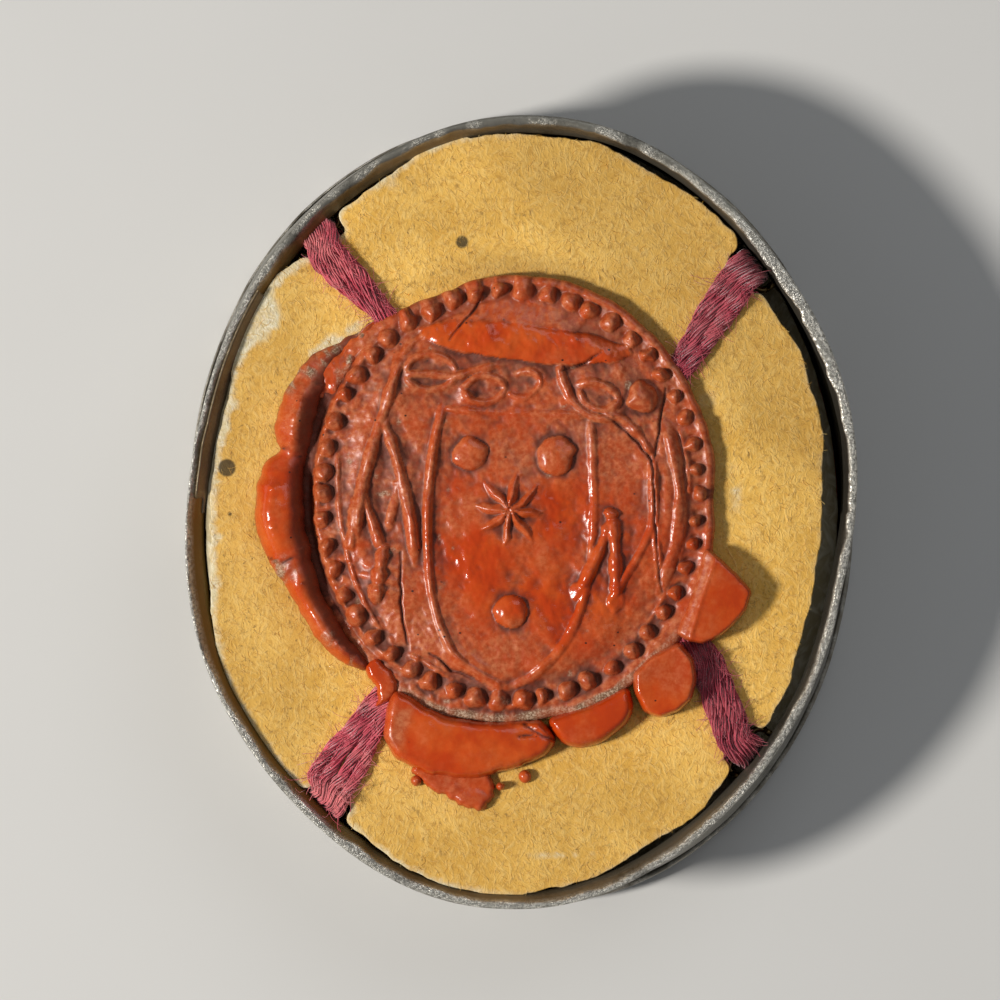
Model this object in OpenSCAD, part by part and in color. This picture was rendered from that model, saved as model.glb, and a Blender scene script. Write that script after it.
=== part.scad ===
// Oval reliquary case: a shallow sheet-metal case with a glazed front, a padded
// card packet pushed in from the open rear, and silk threads drawn across the
// packet and locked under a wax seal.
// The front lip rests on z = 0 and the sealed rear faces +Z.

/* [Case] */
// Overall width of the case
case_w = 33.5; // [28:0.5:42]
// Overall height of the case
case_h = 39.7; // [33:0.5:50]
// Depth from the front lip to the rear rim
case_d = 8.3; // [7.8:0.1:12]
// Thickness of the wall's sheet
sheet_t = 0.35; // [0.25:0.05:0.6]
// How far the rear rim leans outwards
rim_flare = 0.15; // [0:0.05:0.4]
// How strongly the rear rim is bent out of its oval, 1 being as made
hand_bend = 1; // [0:0.1:1.3]

/* [Glazed front] */
// Thickness of the front lip
lip_t = 0.5; // [0.3:0.1:0.8]
// How far the lip reaches in over the glass
lip_reach = 1.4; // [1:0.1:2]
// Thickness of the band round the foot of the wall
band_t = 0.3; // [0.2:0.05:0.5]
// Height of the band, lip included
band_h = 1.6; // [1.2:0.1:2.2]
// Thickness of the glass
glass_t = 1.2; // [0.8:0.1:1.5]
// Depth of the space between the glass and the silk
chamber_d = 1.35; // [1.2:0.05:1.8]
// Thickness of the strip that holds the glass away from the silk
spacer_t = 0.8; // [0.5:0.1:1]
// Thickness of the gilt wire round the display
gilt_d = 0.8; // [0.5:0.1:1]

/* [Packet] */
// Thickness of the card behind the silk
relic_card_t = 0.6; // [0.4:0.1:0.8]
// Thickness of the silk ground
silk_t = 0.15; // [0.1:0.05:0.3]
// Thickness of the rear card
card_t = 0.8; // [0.5:0.1:1.2]
// Thickness of the ochre face pasted on the rear card
face_t = 0.15; // [0.1:0.05:0.3]
// How far the ochre face lies below the rear rim
card_sink = 0.55; // [0.3:0.05:1]
// Gap between the padding and the threads' turns round the eyelets
padding_gap = 0.35; // [0.2:0.05:1]
// Width of the four notches in the rear card
notch_w = 2.6; // [2.3:0.1:3.6]
// Clearance round what drops into the case
fit_gap = 0.1; // [0.05:0.05:0.2]

/* [Threads] */
// Thickness of one silk strand
strand_d = 0.45; // [0.3:0.05:0.6]
// Gap between neighbouring strands
strand_gap = 0.05; // [0.03:0.01:0.15]
// Thickness of the eyelets' wire
eyelet_wire = 0.35; // [0.25:0.05:0.5]
// Length of an eyelet's bar
eyelet_len = 3; // [2.6:0.1:4]
// Distance from the wall to the middle of an eyelet's bar
eyelet_reach = 1; // [0.8:0.05:1.3]

/* [Wax seal] */
// Width of the seal
seal_w = 20.4; // [17:0.2:24]
// Height of the seal
seal_h = 22.6; // [19:0.2:27]
// Thickness of the wax under the relief
seal_t = 1.5; // [1.2:0.1:2.2]
// Height of the relief
relief_h = 0.35; // [0.2:0.05:0.6]
// Diameter of one bead of the border
bead_d = 0.9; // [0.6:0.05:1.1]
// Number of beads in the border
bead_count = 50; // [30:1:52]
// Distance from the seal's edge to the middle of the beads
bead_inset = 0.95; // [0.7:0.05:1.4]

/* [Wax spills] */
// Height of the long spill on the left
spill_h = 1.9; // [1.2:0.1:2.5]
// Height of the two pads under the seal
pad_h = 1.4; // [1:0.1:2]
// Height of the round drop
drop_h = 1.7; // [1:0.1:2]
// Diameter of the round drop
drop_d = 3.3; // [2.4:0.1:4]
// Height of the flap on the right
flap_h = 1.5; // [1:0.1:2]
// Height of the thin run and the droplets
run_h = 0.5; // [0.3:0.1:0.8]

/* [Hidden] */
corners = ["nw", "ne", "sw", "se"];

step_a = 4;
tiny = 0.01;

// Heights of the stack, from the front lip up
glass_z = lip_t;
chamber_z = glass_z + glass_t;
silk_z = chamber_z + chamber_d;
relic_card_z = silk_z + silk_t;
padding_z = relic_card_z + relic_card_t;
face_top = case_d - card_sink;
face_z = face_top - face_t;
card_z = face_z - card_t;
base_w = case_w - 2 * band_t;
base_h = case_h - 2 * band_t;

// The wall is a true oval up to bend_low and has the rim's own outline from bend_high
bend_low = band_h + 0.9;
flare_h = 0.8;
bend_high = case_d - flare_h;

// Waves that a hand-bent rim has: waves per turn, share of the radius, place
rim_waves = [[1, 0.015, 163], [2, 0.015, 74], [3, 0.005, 11], [4, 0.008, 39], [6, 0.006, 136]];

// The rear card's scissor cuts: angle, slack to the wall, white margin outside the ochre face
card_cuts = [[15, 0.95, 0.1], [30, 0.85, 0.1], [41, 1.1, 0.1], [52, 0.2, 0.1], [60, 0.15, 0.1],
    [71, 0.45, 0.1], [79, 0.25, 0.1], [93, 0.35, 0.1], [102, 0.1, 0.1], [105, 0.2, 0.1],
    [122, 0.5, 0.1], [131, 0.85, 0.1], [137, 0.3, 0.1], [149, 0.35, 0.2], [167, 0.35, 0.3],
    [178, 0.4, 0.4], [199, 0.15, 0.4], [206, 0.1, 0.2], [220, 0.05, 0.1], [231, 0.25, 0.1],
    [240, 0.6, 0.1], [251, 0.3, 0.1], [258, 0.2, 0.1], [267, 0.05, 0.1], [281, 0.2, 0.1],
    [290, 0.5, 0.1], [299, 0.2, 0.1], [310, 0.6, 0.1], [318, 0.45, 0.1], [328, 0.55, 0.1],
    [343, 0.85, 0.1], [358, 1.05, 0.1]];
cut_gap = sheet_t + rim_flare + 0.03;

// Angles of the eyelets round the case, in the order of corners
eyelet_angles = [126.5, 46.5, 235.5, 314];
eyelet_drop = 1.3;
eyelet_z = card_z - eyelet_drop;
notch_depth = 1.6;

// Place where the threads cross under the seal
crossing = [2, 0.6];
strands = 4;
strand_pitch = strand_d + strand_gap;
strand_sides = 8;
strand_z = face_top + strand_d / 2;
strand_high_z = strand_z + strand_d + 0.02;
bundle_w = (strands - 1) * strand_pitch + strand_d;
hook_gap = (strand_d + eyelet_wire) / 2 + 0.03;

// Wax channels round the threads
channel_w = bundle_w + 0.6;
channel_h = strand_d + 0.06;
knot_r = 2.9;
knot_h = 2 * strand_d + 0.1;
seal_at = [-0.6, 0.7];
seal_z = face_top;
relief_z = seal_z + seal_t;

// How the seal's edge swells past its oval: angle, distance
seal_swell = [[0, 0.1], [30, 0.25], [60, 0.1], [90, -0.1], [108, -0.5], [125, 0], [142, 0.5],
    [165, 0.2], [195, 0.15], [230, 0.05], [250, 0.2], [275, -0.05], [300, 0.2], [323, 0.45],
    [345, 0.2], [360, 0.1]];

// Outer edges of the spills: angle round the seal, distance out from the seal's edge
spill_edge = [[127, 0.1], [137, 0.3], [143, 0.9], [150, 1.3], [157, 1.5], [163, 1.6], [168, 1],
    [172, 1.7], [178, 2.1], [184, 2.2], [190, 2.1], [196, 1.7], [203, 1.3], [210, 1.1],
    [217, 1.1], [224, 0.8], [230, 0.3]];
pad_edge = [[240, 0.6], [243, 2.3], [247, 2.8], [252, 2.9], [258, 2.8], [264, 2.6], [271, 2.1],
    [278, 1.6], [281, 1.1], [279, 0.2]];
corner_pad_edge = [[280.5, 0.2], [282.5, 1.1], [287, 1.7], [292, 1.7], [298, 1.4], [301, 0.8],
    [302, 0.2]];
flap_edge = [[346, 0.1], [344, 1], [341, 2.1], [338, 2.7], [335, 2.7], [331, 2.5], [326, 1.9],
    [322.5, 1.1], [321.5, 0.3]];
run_edge = [[254, 2.7], [256, 3.1], [261, 3.3], [262.5, 4], [265, 4.3], [267, 4], [267.5, 3],
    [267, 2.4]];
droplets = [[252, 3.5, 0.6], [268.5, 3.1, 0.5], [273.5, 2.7, 0.7]];
drop_angle = 310.6;

// ---- Outlines ----

function mix(a, b, k) = a + (b - a) * k;
function clamp01(k) = min(1, max(0, k));
function ease(k) = clamp01(k) * clamp01(k) * (3 - 2 * clamp01(k));
function sum(v, i = 0) = i < len(v) ? v[i] + sum(v, i + 1) : 0;
function turn(a) = [cos(a), sin(a)];
function unit(v) = v / norm(v);
function left_of(v) = [-v[1], v[0]];

// Radius at angle a of an oval w wide and h high
function oval_r(a, w, h) = w * h / 2 / norm([h * cos(a), w * sin(a)]);
function oval_pt(a, w, h) = oval_r(a, w, h) * turn(a);

// Outward normal of the case's oval at angle a
function oval_normal(a) = unit([cos(a) / pow(case_w, 2), sin(a) / pow(case_h, 2)]);

// The rear rim: the bent oval, centred and brought back to the overall size
function bent_pt(a) = oval_pt(a, case_w, case_h)
    * (1 + hand_bend * sum([for (w = rim_waves) w[1] * cos(w[0] * a - w[2])]));
bent = [for (a = [0:1:359]) bent_pt(a)];
bent_x = [for (p = bent) p[0]];
bent_y = [for (p = bent) p[1]];
bent_mid = [max(bent_x) + min(bent_x), max(bent_y) + min(bent_y)] / 2;
bent_fit = [case_w / (max(bent_x) - min(bent_x)), case_h / (max(bent_y) - min(bent_y))];
function rim_pt(a) = [(bent_pt(a)[0] - bent_mid[0]) * bent_fit[0],
    (bent_pt(a)[1] - bent_mid[1]) * bent_fit[1]];
function pulled_in(p, d) = p * (1 - d / norm(p));

// A point of the wall's outer face at angle a and height z, or of a face d further in
function lean(z) = rim_flare * (pow(clamp01((z - bend_high) / flare_h), 2) - 1);
function wall_pt(a, z, d = 0) = pulled_in(mix(oval_pt(a, base_w, base_h),
    pulled_in(rim_pt(a), -lean(z)), ease((z - bend_low) / (bend_high - bend_low))), d);

module oval_plate(w, h, z, t) {
    translate([0, 0, z])
        linear_extrude(t)
            polygon([for (a = [0:step_a:359]) oval_pt(a, w, h)]);
}

module oval_ring(w, h, rim, z, t) {
    difference() {
        oval_plate(w, h, z, t);
        oval_plate(w - 2 * rim, h - 2 * rim, z - tiny, t + 2 * tiny);
    }
}

// ---- Case ----

// A closed skin through rings of points that all have the same count
module skin(rings) {
    n = len(rings[0]);
    points = [for (ring = rings) each ring];
    sides = [for (i = [0:len(rings) - 2], j = [0:n - 1])
        let (k = (j + 1) % n, p = i * n, q = p + n)
            each [[p + j, q + k, p + k], [p + j, q + j, q + k]]];
    foot = [for (j = [0:n - 1]) j];
    top = [for (j = [n - 1:-1:0]) (len(rings) - 1) * n + j];
    polyhedron(points, concat([foot, top], sides));
}

// A strip of the wall between two distances in from its outer face
module wall_strip(d_out, d_in, levels, angles) {
    n = len(angles);
    m = len(levels);
    faces_of = [for (d = [d_out, d_in], z = levels, a = angles)
        let (p = wall_pt(a, z, d)) [p[0], p[1], z]];
    polyhedron(faces_of, strip_faces(n, m, abs(angles[n - 1] - angles[0]) > 359 - step_a));
}

// Faces of a strip: n points along it, m levels up it, closed into a ring or not
function strip_faces(n, m, ring) = let (far = n * m, last = ring ? n - 1 : n - 2) concat(
    [for (i = [0:m - 2], j = [0:last]) let (k = (j + 1) % n, p = i * n)
        each [[p + j, p + n + k, p + k], [p + j, p + n + j, p + n + k]]],
    [for (i = [0:m - 2], j = [0:last]) let (k = (j + 1) % n, p = far + i * n)
        each [[p + j, p + k, p + n + k], [p + j, p + n + k, p + n + j]]],
    [for (j = [0:last]) let (k = (j + 1) % n, top = (m - 1) * n)
        each [[j, k, far + k], [j, far + k, far + j],
            [top + j, far + top + k, top + k], [top + j, far + top + j, far + top + k]]],
    ring ? [] : [for (i = [0:m - 2], end = [0, n - 1]) let (p = i * n + end, q = far + p)
        each end == 0 ? [[p, q, q + n], [p, q + n, p + n]] : [[p, q + n, q], [p, p + n, q + n]]]);

wall_levels = [lip_t, bend_low, mix(bend_low, bend_high, 0.25), mix(bend_low, bend_high, 0.5),
    mix(bend_low, bend_high, 0.75), bend_high, case_d - flare_h / 2, case_d];

module case_wall() {
    color("dimgray")
        wall_strip(0, sheet_t, wall_levels, [for (a = [0:step_a:359]) a]);
}

// Strap soldered inside over the joint of the wall's two ends
strap_from = 140;
strap_to = 180;
strap_t = 0.1;
solder_gap = 0.02;
strap_low = card_z + 0.1;
strap_high = case_d - 0.1;

module wall_seam_strap() {
    color("gray")
        wall_strip(sheet_t + solder_gap, sheet_t + solder_gap + strap_t,
            [for (k = [0:0.25:1]) mix(strap_low, strap_high, k)],
            [for (a = [strap_from:step_a:strap_to]) a]);
}

module front_bezel() {
    color("dimgray") {
        oval_ring(case_w, case_h, band_t, 0, band_h);
        oval_ring(base_w, base_h, lip_reach, 0, lip_t);
    }
}

// ---- Glazed front ----

inner_w = base_w - 2 * sheet_t - 2 * fit_gap;
inner_h = base_h - 2 * sheet_t - 2 * fit_gap;
display_w = inner_w - 2 * spacer_t - 2 * fit_gap;
display_h = inner_h - 2 * spacer_t - 2 * fit_gap;

module front_glass() {
    color("lightcyan")
        oval_plate(inner_w, inner_h, glass_z, glass_t);
}

module spacer_ring() {
    color("wheat")
        oval_ring(inner_w, inner_h, spacer_t, chamber_z, chamber_d);
}

module gilt_border() {
    color("goldenrod")
        oval_ring(display_w, display_h, gilt_d, silk_z - gilt_d, gilt_d);
}

module silk_ground() {
    color("maroon")
        oval_plate(inner_w, inner_h, silk_z, silk_t);
}

module relic_card() {
    color("ivory")
        oval_plate(inner_w, inner_h, relic_card_z, relic_card_t);
}

// The relic is a chip tied down by three turns of thread, with a blank paper strip below it
chip_l = 4.4;
chip_w = 1.5;
chip_t = 0.6;
tie_t = 0.15;
tie_w = 0.2;
tie_places = [-1.2, 0, 1.1];
chip_at = [0, 3];
strip_l = 11;
strip_w = 2.2;
strip_at = [0, -4.5];

module chip_outline(grow) {
    l = chip_l / 2 + grow;
    w = chip_w / 2 + grow;
    polygon([[-l, -w / 2], [-l, w / 2], [-l * 0.6, w], [l * 0.7, w], [l, 0], [l * 0.6, -w], [-l * 0.5, -w]]);
}

module relic_fragment() {
    color("ivory")
        translate([chip_at[0], chip_at[1], silk_z - tie_t - chip_t])
            linear_extrude(chip_t)
                chip_outline(0);
}

// Each turn of the tie is a flat band round the chip
module relic_tie() {
    band_w = chip_w + 0.1;
    color("crimson")
        for (x = tie_places)
            translate([chip_at[0] + x - tie_w / 2, chip_at[1] - band_w / 2 - tie_t, silk_z - chip_t - 2 * tie_t])
                difference() {
                    cube([tie_w, band_w + 2 * tie_t, chip_t + 2 * tie_t]);
                    translate([-tiny, tie_t, tie_t])
                        cube([tie_w + 2 * tiny, band_w, chip_t]);
                }
}

module label_strip() {
    color("ivory")
        translate([strip_at[0] - strip_l / 2, strip_at[1] - strip_w / 2, silk_z - silk_t])
            cube([strip_l, strip_w, silk_t]);
}

// ---- Packet ----

module cotton_padding() {
    inset = sheet_t + eyelet_reach + hook_gap + strand_d / 2 + padding_gap;
    color("white")
        oval_plate(base_w - 2 * inset, base_h - 2 * inset, padding_z, card_z - padding_z);
}

// Outline of the rear card, or of the ochre face inside its white margin
module card_outline(with_margin) {
    polygon([for (c = card_cuts)
        let (d = cut_gap + c[1] + (with_margin ? c[2] : 0)) pulled_in(rim_pt(c[0]), d)]);
}

module notches(z, t) {
    for (a = eyelet_angles)
        let (o = wall_pt(a, card_z, sheet_t), n = oval_normal(a))
            translate([o[0], o[1], z])
                rotate(atan2(n[1], n[0]))
                    translate([-notch_depth, -notch_w / 2, 0])
                        cube([notch_depth + 2, notch_w, t]);
}

module packet_layer(z, t, with_margin) {
    difference() {
        translate([0, 0, z])
            linear_extrude(t)
                card_outline(with_margin);
        notches(z - tiny, t + 2 * tiny);
    }
}

module backing_card() {
    color("ivory")
        packet_layer(card_z, card_t, false);
}

module ochre_face() {
    color("goldenrod")
        packet_layer(face_z, face_t, true);
}

// ---- Eyelets ----

// Frame of an eyelet: the wall's inner face, its outward normal and the way along the wall
function eyelet_at(i) = wall_pt(eyelet_angles[i], eyelet_z, sheet_t);
function eyelet_out(i) = oval_normal(eyelet_angles[i]);

// Length of an eyelet's leg, from its bar to the wall where the leg meets it
leg_x = (eyelet_len - eyelet_wire) / 2;
leg_gap = 0.02;
function leg_len(i, side) = let (o = eyelet_at(i),
    p = wall_pt(eyelet_angles[i] + side * atan(eyelet_len / 2 / norm(o)), eyelet_z, sheet_t))
    eyelet_reach + (p - o) * eyelet_out(i) - leg_gap;

module eyelet(i) {
    n = eyelet_out(i);
    o = eyelet_at(i);
    color("silver")
        translate([o[0], o[1], eyelet_z])
            rotate(atan2(n[1], n[0]))
                translate([-eyelet_reach, 0, 0]) {
                    rotate([90, 0, 0])
                        cylinder(d = eyelet_wire, h = 2 * leg_x, center = true, $fn = 24);
                    for (side = [-1, 1])
                        translate([0, side * leg_x, 0]) {
                            sphere(d = eyelet_wire, $fn = 24);
                            rotate([0, 90, 0])
                                cylinder(d = eyelet_wire, h = leg_len(i, side), $fn = 24);
                        }
                }
}

module eyelet_nw() {
    eyelet(0);
}

module eyelet_ne() {
    eyelet(1);
}

module eyelet_sw() {
    eyelet(2);
}

module eyelet_se() {
    eyelet(3);
}

// ---- Threads ----

// A strand's turn round its eyelet and over the notch: distance out from the wall's
// inner face and height, from the loose end to the flat run
bar = -eyelet_reach;
hook_side = [[bar - hook_gap, eyelet_z + 0.5], [bar - hook_gap, eyelet_z],
    [bar - hook_gap * 0.7, eyelet_z - hook_gap * 0.7], [bar, eyelet_z - hook_gap],
    [bar + hook_gap * 0.7, eyelet_z - hook_gap * 0.7], [bar + hook_gap, eyelet_z],
    [bar + hook_gap, eyelet_z + 0.9], [bar + hook_gap - 0.15, strand_z - 0.6],
    [bar + hook_gap - 0.4, strand_z - 0.15], [0.1 - notch_depth, strand_z],
    [-0.6 - notch_depth, strand_z]];

// One end of a strand as [x, y, z, left x, left y], read towards the crossing
function strand_end(i, off, z_up) = let (o = eyelet_at(i), n = eyelet_out(i), l = left_of(-n))
    [for (h = hook_side) let (p = o + n * h[0] + l * off) [p[0], p[1], h[1], l[0], l[1]]];

// The same end read away from the crossing
function reversed(v) = [for (i = [len(v) - 1:-1:0]) v[i]];
function strand_far_end(i, off) = let (o = eyelet_at(i), n = eyelet_out(i), l = left_of(n))
    reversed([for (h = hook_side) let (p = o + n * h[0] + l * off) [p[0], p[1], h[1], l[0], l[1]]]);

// The crossing, with the height of the hump that the upper strands make over the lower ones
hump = [[-2.7, 0], [-2.1, 0.35], [-1.4, 1], [0, 1], [1.4, 1], [2.1, 0.35], [2.7, 0]];
function strand_middle(i, j, off, lift) =
    let (t = unit(unit(crossing - eyelet_at(i)) + unit(eyelet_at(j) - crossing)), l = left_of(t))
    [for (h = hump) let (p = crossing + t * h[0] + l * off)
        [p[0], p[1], strand_z + lift * h[1], l[0], l[1]]];

function between(p, q, n) = [for (i = [1:n]) mix(p, q, i / (n + 1))];
function straight_run(p, q) = between(p, q, floor(norm([p[0] - q[0], p[1] - q[1]]) / (3 * strand_d)));

function strand_route(i, j, off, lift) = let (start = strand_end(i, off), end = strand_far_end(j, off),
    mid = strand_middle(i, j, off, lift)) concat(start, straight_run(start[len(start) - 1], mid[0]),
    mid, straight_run(mid[len(mid) - 1], end[0]), end);

// Rings of a tube round a route, each square to the way the route goes
function tube_rings(route, d) = [for (i = [0:len(route) - 1])
    let (p = route[i], a = route[max(0, i - 1)], b = route[min(len(route) - 1, i + 1)],
        t = unit([b[0] - a[0], b[1] - a[1], b[2] - a[2]]), side = unit([p[3], p[4], 0]),
        s = unit(side - t * (side * t)), up = cross(t, s))
    [for (k = [0:strand_sides - 1]) let (q = turn(360 * (k + 0.5) / strand_sides) * d / 2)
        [p[0], p[1], p[2]] + s * q[0] + up * q[1]]];

module strand(i, j, number, lift) {
    off = (number - (strands + 1) / 2) * strand_pitch;
    color("crimson")
        skin(tube_rings(strand_route(i, j, off, lift), strand_d));
}

strand_lift = strand_high_z - strand_z;

module strand_over_1() {
    strand(0, 3, 1, strand_lift);
}

module strand_over_2() {
    strand(0, 3, 2, strand_lift);
}

module strand_over_3() {
    strand(0, 3, 3, strand_lift);
}

module strand_over_4() {
    strand(0, 3, 4, strand_lift);
}

module strand_under_1() {
    strand(2, 1, 1, 0);
}

module strand_under_2() {
    strand(2, 1, 2, 0);
}

module strand_under_3() {
    strand(2, 1, 3, 0);
}

module strand_under_4() {
    strand(2, 1, 4, 0);
}

// ---- Wax ----

// A point on the seal's edge at angle a, or a distance out from it
function seal_pt(a, out = 0) = seal_at + turn(a) * (oval_r(a, seal_w, seal_h) + lookup(a, seal_swell) + out);

module seal_outline() {
    polygon([for (a = [0:step_a:359]) seal_pt(a)]);
}

// The room that the threads take up under the wax
module thread_room() {
    for (i = [0:len(corners) - 1])
        let (o = eyelet_at(i) - eyelet_out(i) * (notch_depth + 0.6), d = o - crossing)
            translate([crossing[0], crossing[1], seal_z - tiny])
                rotate(atan2(d[1], d[0]))
                    translate([0, -channel_w / 2, 0])
                        cube([norm(d) + 3, channel_w, channel_h + tiny]);
    translate([crossing[0], crossing[1], seal_z - tiny])
        cylinder(r = knot_r, h = knot_h + tiny, $fn = 48);
}

module raised(h = relief_h) {
    translate([0, 0, relief_z - tiny])
        linear_extrude(h + tiny)
            children();
}

module beads() {
    for (i = [0:bead_count - 1]) {
        p = seal_pt(360 * i / bead_count, -bead_inset);
        translate([p[0], p[1], relief_z - tiny])
            cylinder(d = bead_d, h = relief_h + tiny, $fn = 16);
    }
}

// A plain shield: straight top and sides, running down to a point
shield_w = 8.4;
shield_h = 12.6;
shield_at = [-0.5, -1.4];
shield_rim = 0.35;
star_r = 1.9;
roundel_r = 0.85;
roundel_places = [[-2.2, 4.2], [2.2, 4.2], [0, -3.6]];

module shield_outline(inset) {
    w = shield_w / 2 - inset;
    h = shield_h / 2 - inset;
    polygon(concat([[-w, h], [-w, 0]],
        [for (a = [15:15:75]) [-w * cos(a), -h * sin(a) * (1 + inset / h / 2)]], [[0, -h]],
        [for (a = [75:-15:15]) [w * cos(a), -h * sin(a) * (1 + inset / h / 2)]], [[w, 0], [w, h]]));
}

module star(r, points) {
    polygon([for (i = [0:2 * points - 1]) (i % 2 == 0 ? r : r * 0.45) * turn(90 + 180 * i / points)]);
}

module device() {
    difference() {
        shield_outline(0);
        shield_outline(shield_rim);
    }
    star(star_r, 8);
    for (p = roundel_places)
        translate(p)
            circle(r = roundel_r, $fn = 24);
}

module wax_seal() {
    color("orangered")
        difference() {
            union() {
                translate([0, 0, seal_z])
                    linear_extrude(seal_t)
                        seal_outline();
                beads();
                raised()
                    translate(shield_at)
                        device();
            }
            thread_room();
        }
}

// A spill's outline lies against the seal from its first edge point to its last
module spill_outline(edge) {
    difference() {
        polygon(concat([for (e = edge) seal_pt(e[0], e[1])],
            [for (e = reversed(edge)) seal_pt(e[0], -1)]));
        seal_outline();
    }
}

module spill(edge, h) {
    color("orangered")
        difference() {
            translate([0, 0, seal_z])
                linear_extrude(h)
                    spill_outline(edge);
            thread_room();
        }
}

module wax_spill_left() {
    spill(spill_edge, spill_h);
}

module wax_pad_bottom() {
    spill(pad_edge, pad_h);
}

module wax_pad_lower_right() {
    spill(corner_pad_edge, pad_h);
}

module wax_flap_right() {
    spill(flap_edge, flap_h);
}

module drop_round() {
    translate(seal_pt(drop_angle, drop_d / 2 - 0.3))
        circle(d = drop_d, $fn = 48);
}

module wax_drop() {
    color("orangered")
        difference() {
            translate([0, 0, seal_z])
                linear_extrude(drop_h)
                    difference() {
                        drop_round();
                        seal_outline();
                    }
            thread_room();
        }
}

module wax_run() {
    color("orangered")
        translate([0, 0, seal_z])
            linear_extrude(run_h)
                difference() {
                    polygon([for (e = run_edge) seal_pt(e[0], e[1])]);
                    spill_outline(pad_edge);
                }
}

module wax_droplets() {
    color("orangered")
        for (d = droplets)
            let (p = seal_pt(d[0], d[1]))
                translate([p[0], p[1], seal_z])
                    cylinder(d = d[2], h = run_h, $fn = 24);
}

case_wall();
wall_seam_strap();
front_bezel();
front_glass();
spacer_ring();
gilt_border();
silk_ground();
relic_card();
relic_fragment();
relic_tie();
label_strip();
cotton_padding();
backing_card();
ochre_face();
eyelet_nw();
eyelet_ne();
eyelet_sw();
eyelet_se();
strand_over_1();
strand_over_2();
strand_over_3();
strand_over_4();
strand_under_1();
strand_under_2();
strand_under_3();
strand_under_4();
wax_seal();
wax_spill_left();
wax_pad_bottom();
wax_pad_lower_right();
wax_drop();
wax_flap_right();
wax_run();
wax_droplets();
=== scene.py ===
import math

import bpy
import numpy as np
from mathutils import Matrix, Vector
from mathutils.geometry import delaunay_2d_cdt


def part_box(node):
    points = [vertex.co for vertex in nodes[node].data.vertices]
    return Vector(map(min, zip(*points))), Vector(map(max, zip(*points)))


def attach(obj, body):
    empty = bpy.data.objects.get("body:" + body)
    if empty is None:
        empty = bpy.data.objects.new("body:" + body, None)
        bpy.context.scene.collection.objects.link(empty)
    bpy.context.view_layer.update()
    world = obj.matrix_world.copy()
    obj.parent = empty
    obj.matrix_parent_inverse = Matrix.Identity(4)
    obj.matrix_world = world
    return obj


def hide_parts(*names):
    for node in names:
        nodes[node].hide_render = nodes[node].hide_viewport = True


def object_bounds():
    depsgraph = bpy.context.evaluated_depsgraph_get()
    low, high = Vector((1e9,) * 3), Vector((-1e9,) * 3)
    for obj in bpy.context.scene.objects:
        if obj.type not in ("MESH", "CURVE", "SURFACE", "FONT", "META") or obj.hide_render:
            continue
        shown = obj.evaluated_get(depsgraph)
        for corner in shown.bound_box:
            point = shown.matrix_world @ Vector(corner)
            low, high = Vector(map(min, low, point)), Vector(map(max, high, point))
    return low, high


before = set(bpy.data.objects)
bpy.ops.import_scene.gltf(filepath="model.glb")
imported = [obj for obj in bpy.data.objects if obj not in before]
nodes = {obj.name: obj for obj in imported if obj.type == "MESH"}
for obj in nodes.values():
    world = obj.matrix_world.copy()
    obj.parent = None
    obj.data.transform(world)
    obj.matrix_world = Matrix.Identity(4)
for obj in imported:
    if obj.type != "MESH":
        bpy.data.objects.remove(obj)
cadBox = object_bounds()
mm = 0.001


# small tools for outlines and heights, all in millimetres

def mix(a, b, k):
    return a + (b - a) * k


def ease(k):
    k = np.clip(k, 0, 1)
    return k * k * (3 - 2 * k)


def softNoise(x, y, size, seed):
    # smooth lattice noise from -1 to 1
    table = np.random.default_rng(seed).uniform(-1, 1, (128, 128))
    u, v = np.asarray(x) / size, np.asarray(y) / size
    i, j = np.floor(u).astype(int), np.floor(v).astype(int)
    f, g = ease(u - i), ease(v - j)
    i, j = i % 128, j % 128
    i2, j2 = (i + 1) % 128, (j + 1) % 128
    return mix(mix(table[i, j], table[i2, j], f), mix(table[i, j2], table[i2, j2], f), g)


def layeredNoise(x, y, size, seed, layers=4, gain=0.5):
    total = 0
    for k in range(layers):
        total = total + softNoise(x, y, size / 2 ** k, seed + k) * gain ** k
    return total


def nodePoints(node):
    mesh = nodes[node].data
    co = np.empty(len(mesh.vertices) * 3)
    mesh.vertices.foreach_get("co", co)
    return co.reshape(-1, 3) / mm


def flatLoops(node, z):
    # outlines of a node's flat face at height z, longest first
    co = nodePoints(node)
    flat = np.abs(co[:, 2] - z) < 0.004
    edges = {}
    for face in nodes[node].data.polygons:
        if not all(flat[v] for v in face.vertices):
            continue
        keys = [tuple(np.round(co[v][:2], 3)) for v in face.vertices]
        for a, b in zip(keys, keys[1:] + keys[:1]):
            if a == b:
                continue
            if (b, a) in edges:
                del edges[(b, a)]
            else:
                edges[(a, b)] = True
    following = {a: b for a, b in edges}
    loops = []
    while following:
        start, here = next(iter(following.items()))
        loop = [start]
        del following[start]
        while here != start and here in following:
            loop.append(here)
            here = following.pop(here)
        loops.append(np.array(loop))
    return sorted(loops, key=lambda p: -loopLength(p))


def loopLength(loop):
    return np.linalg.norm(np.roll(loop, -1, 0) - loop, axis=1).sum()


def resampled(loop, spacing):
    ring = np.vstack([loop, loop[:1]])
    along = np.concatenate([[0], np.cumsum(np.linalg.norm(np.diff(ring, axis=0), axis=1))])
    count = max(12, round(along[-1] / spacing))
    at = np.arange(count) * along[-1] / count
    return np.column_stack([np.interp(at, along, ring[:, k]) for k in range(ring.shape[1])])


def smoothedLoop(loop, passes):
    for _ in range(passes):
        loop = loop * 0.5 + (np.roll(loop, 1, 0) + np.roll(loop, -1, 0)) * 0.25
    return loop


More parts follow.
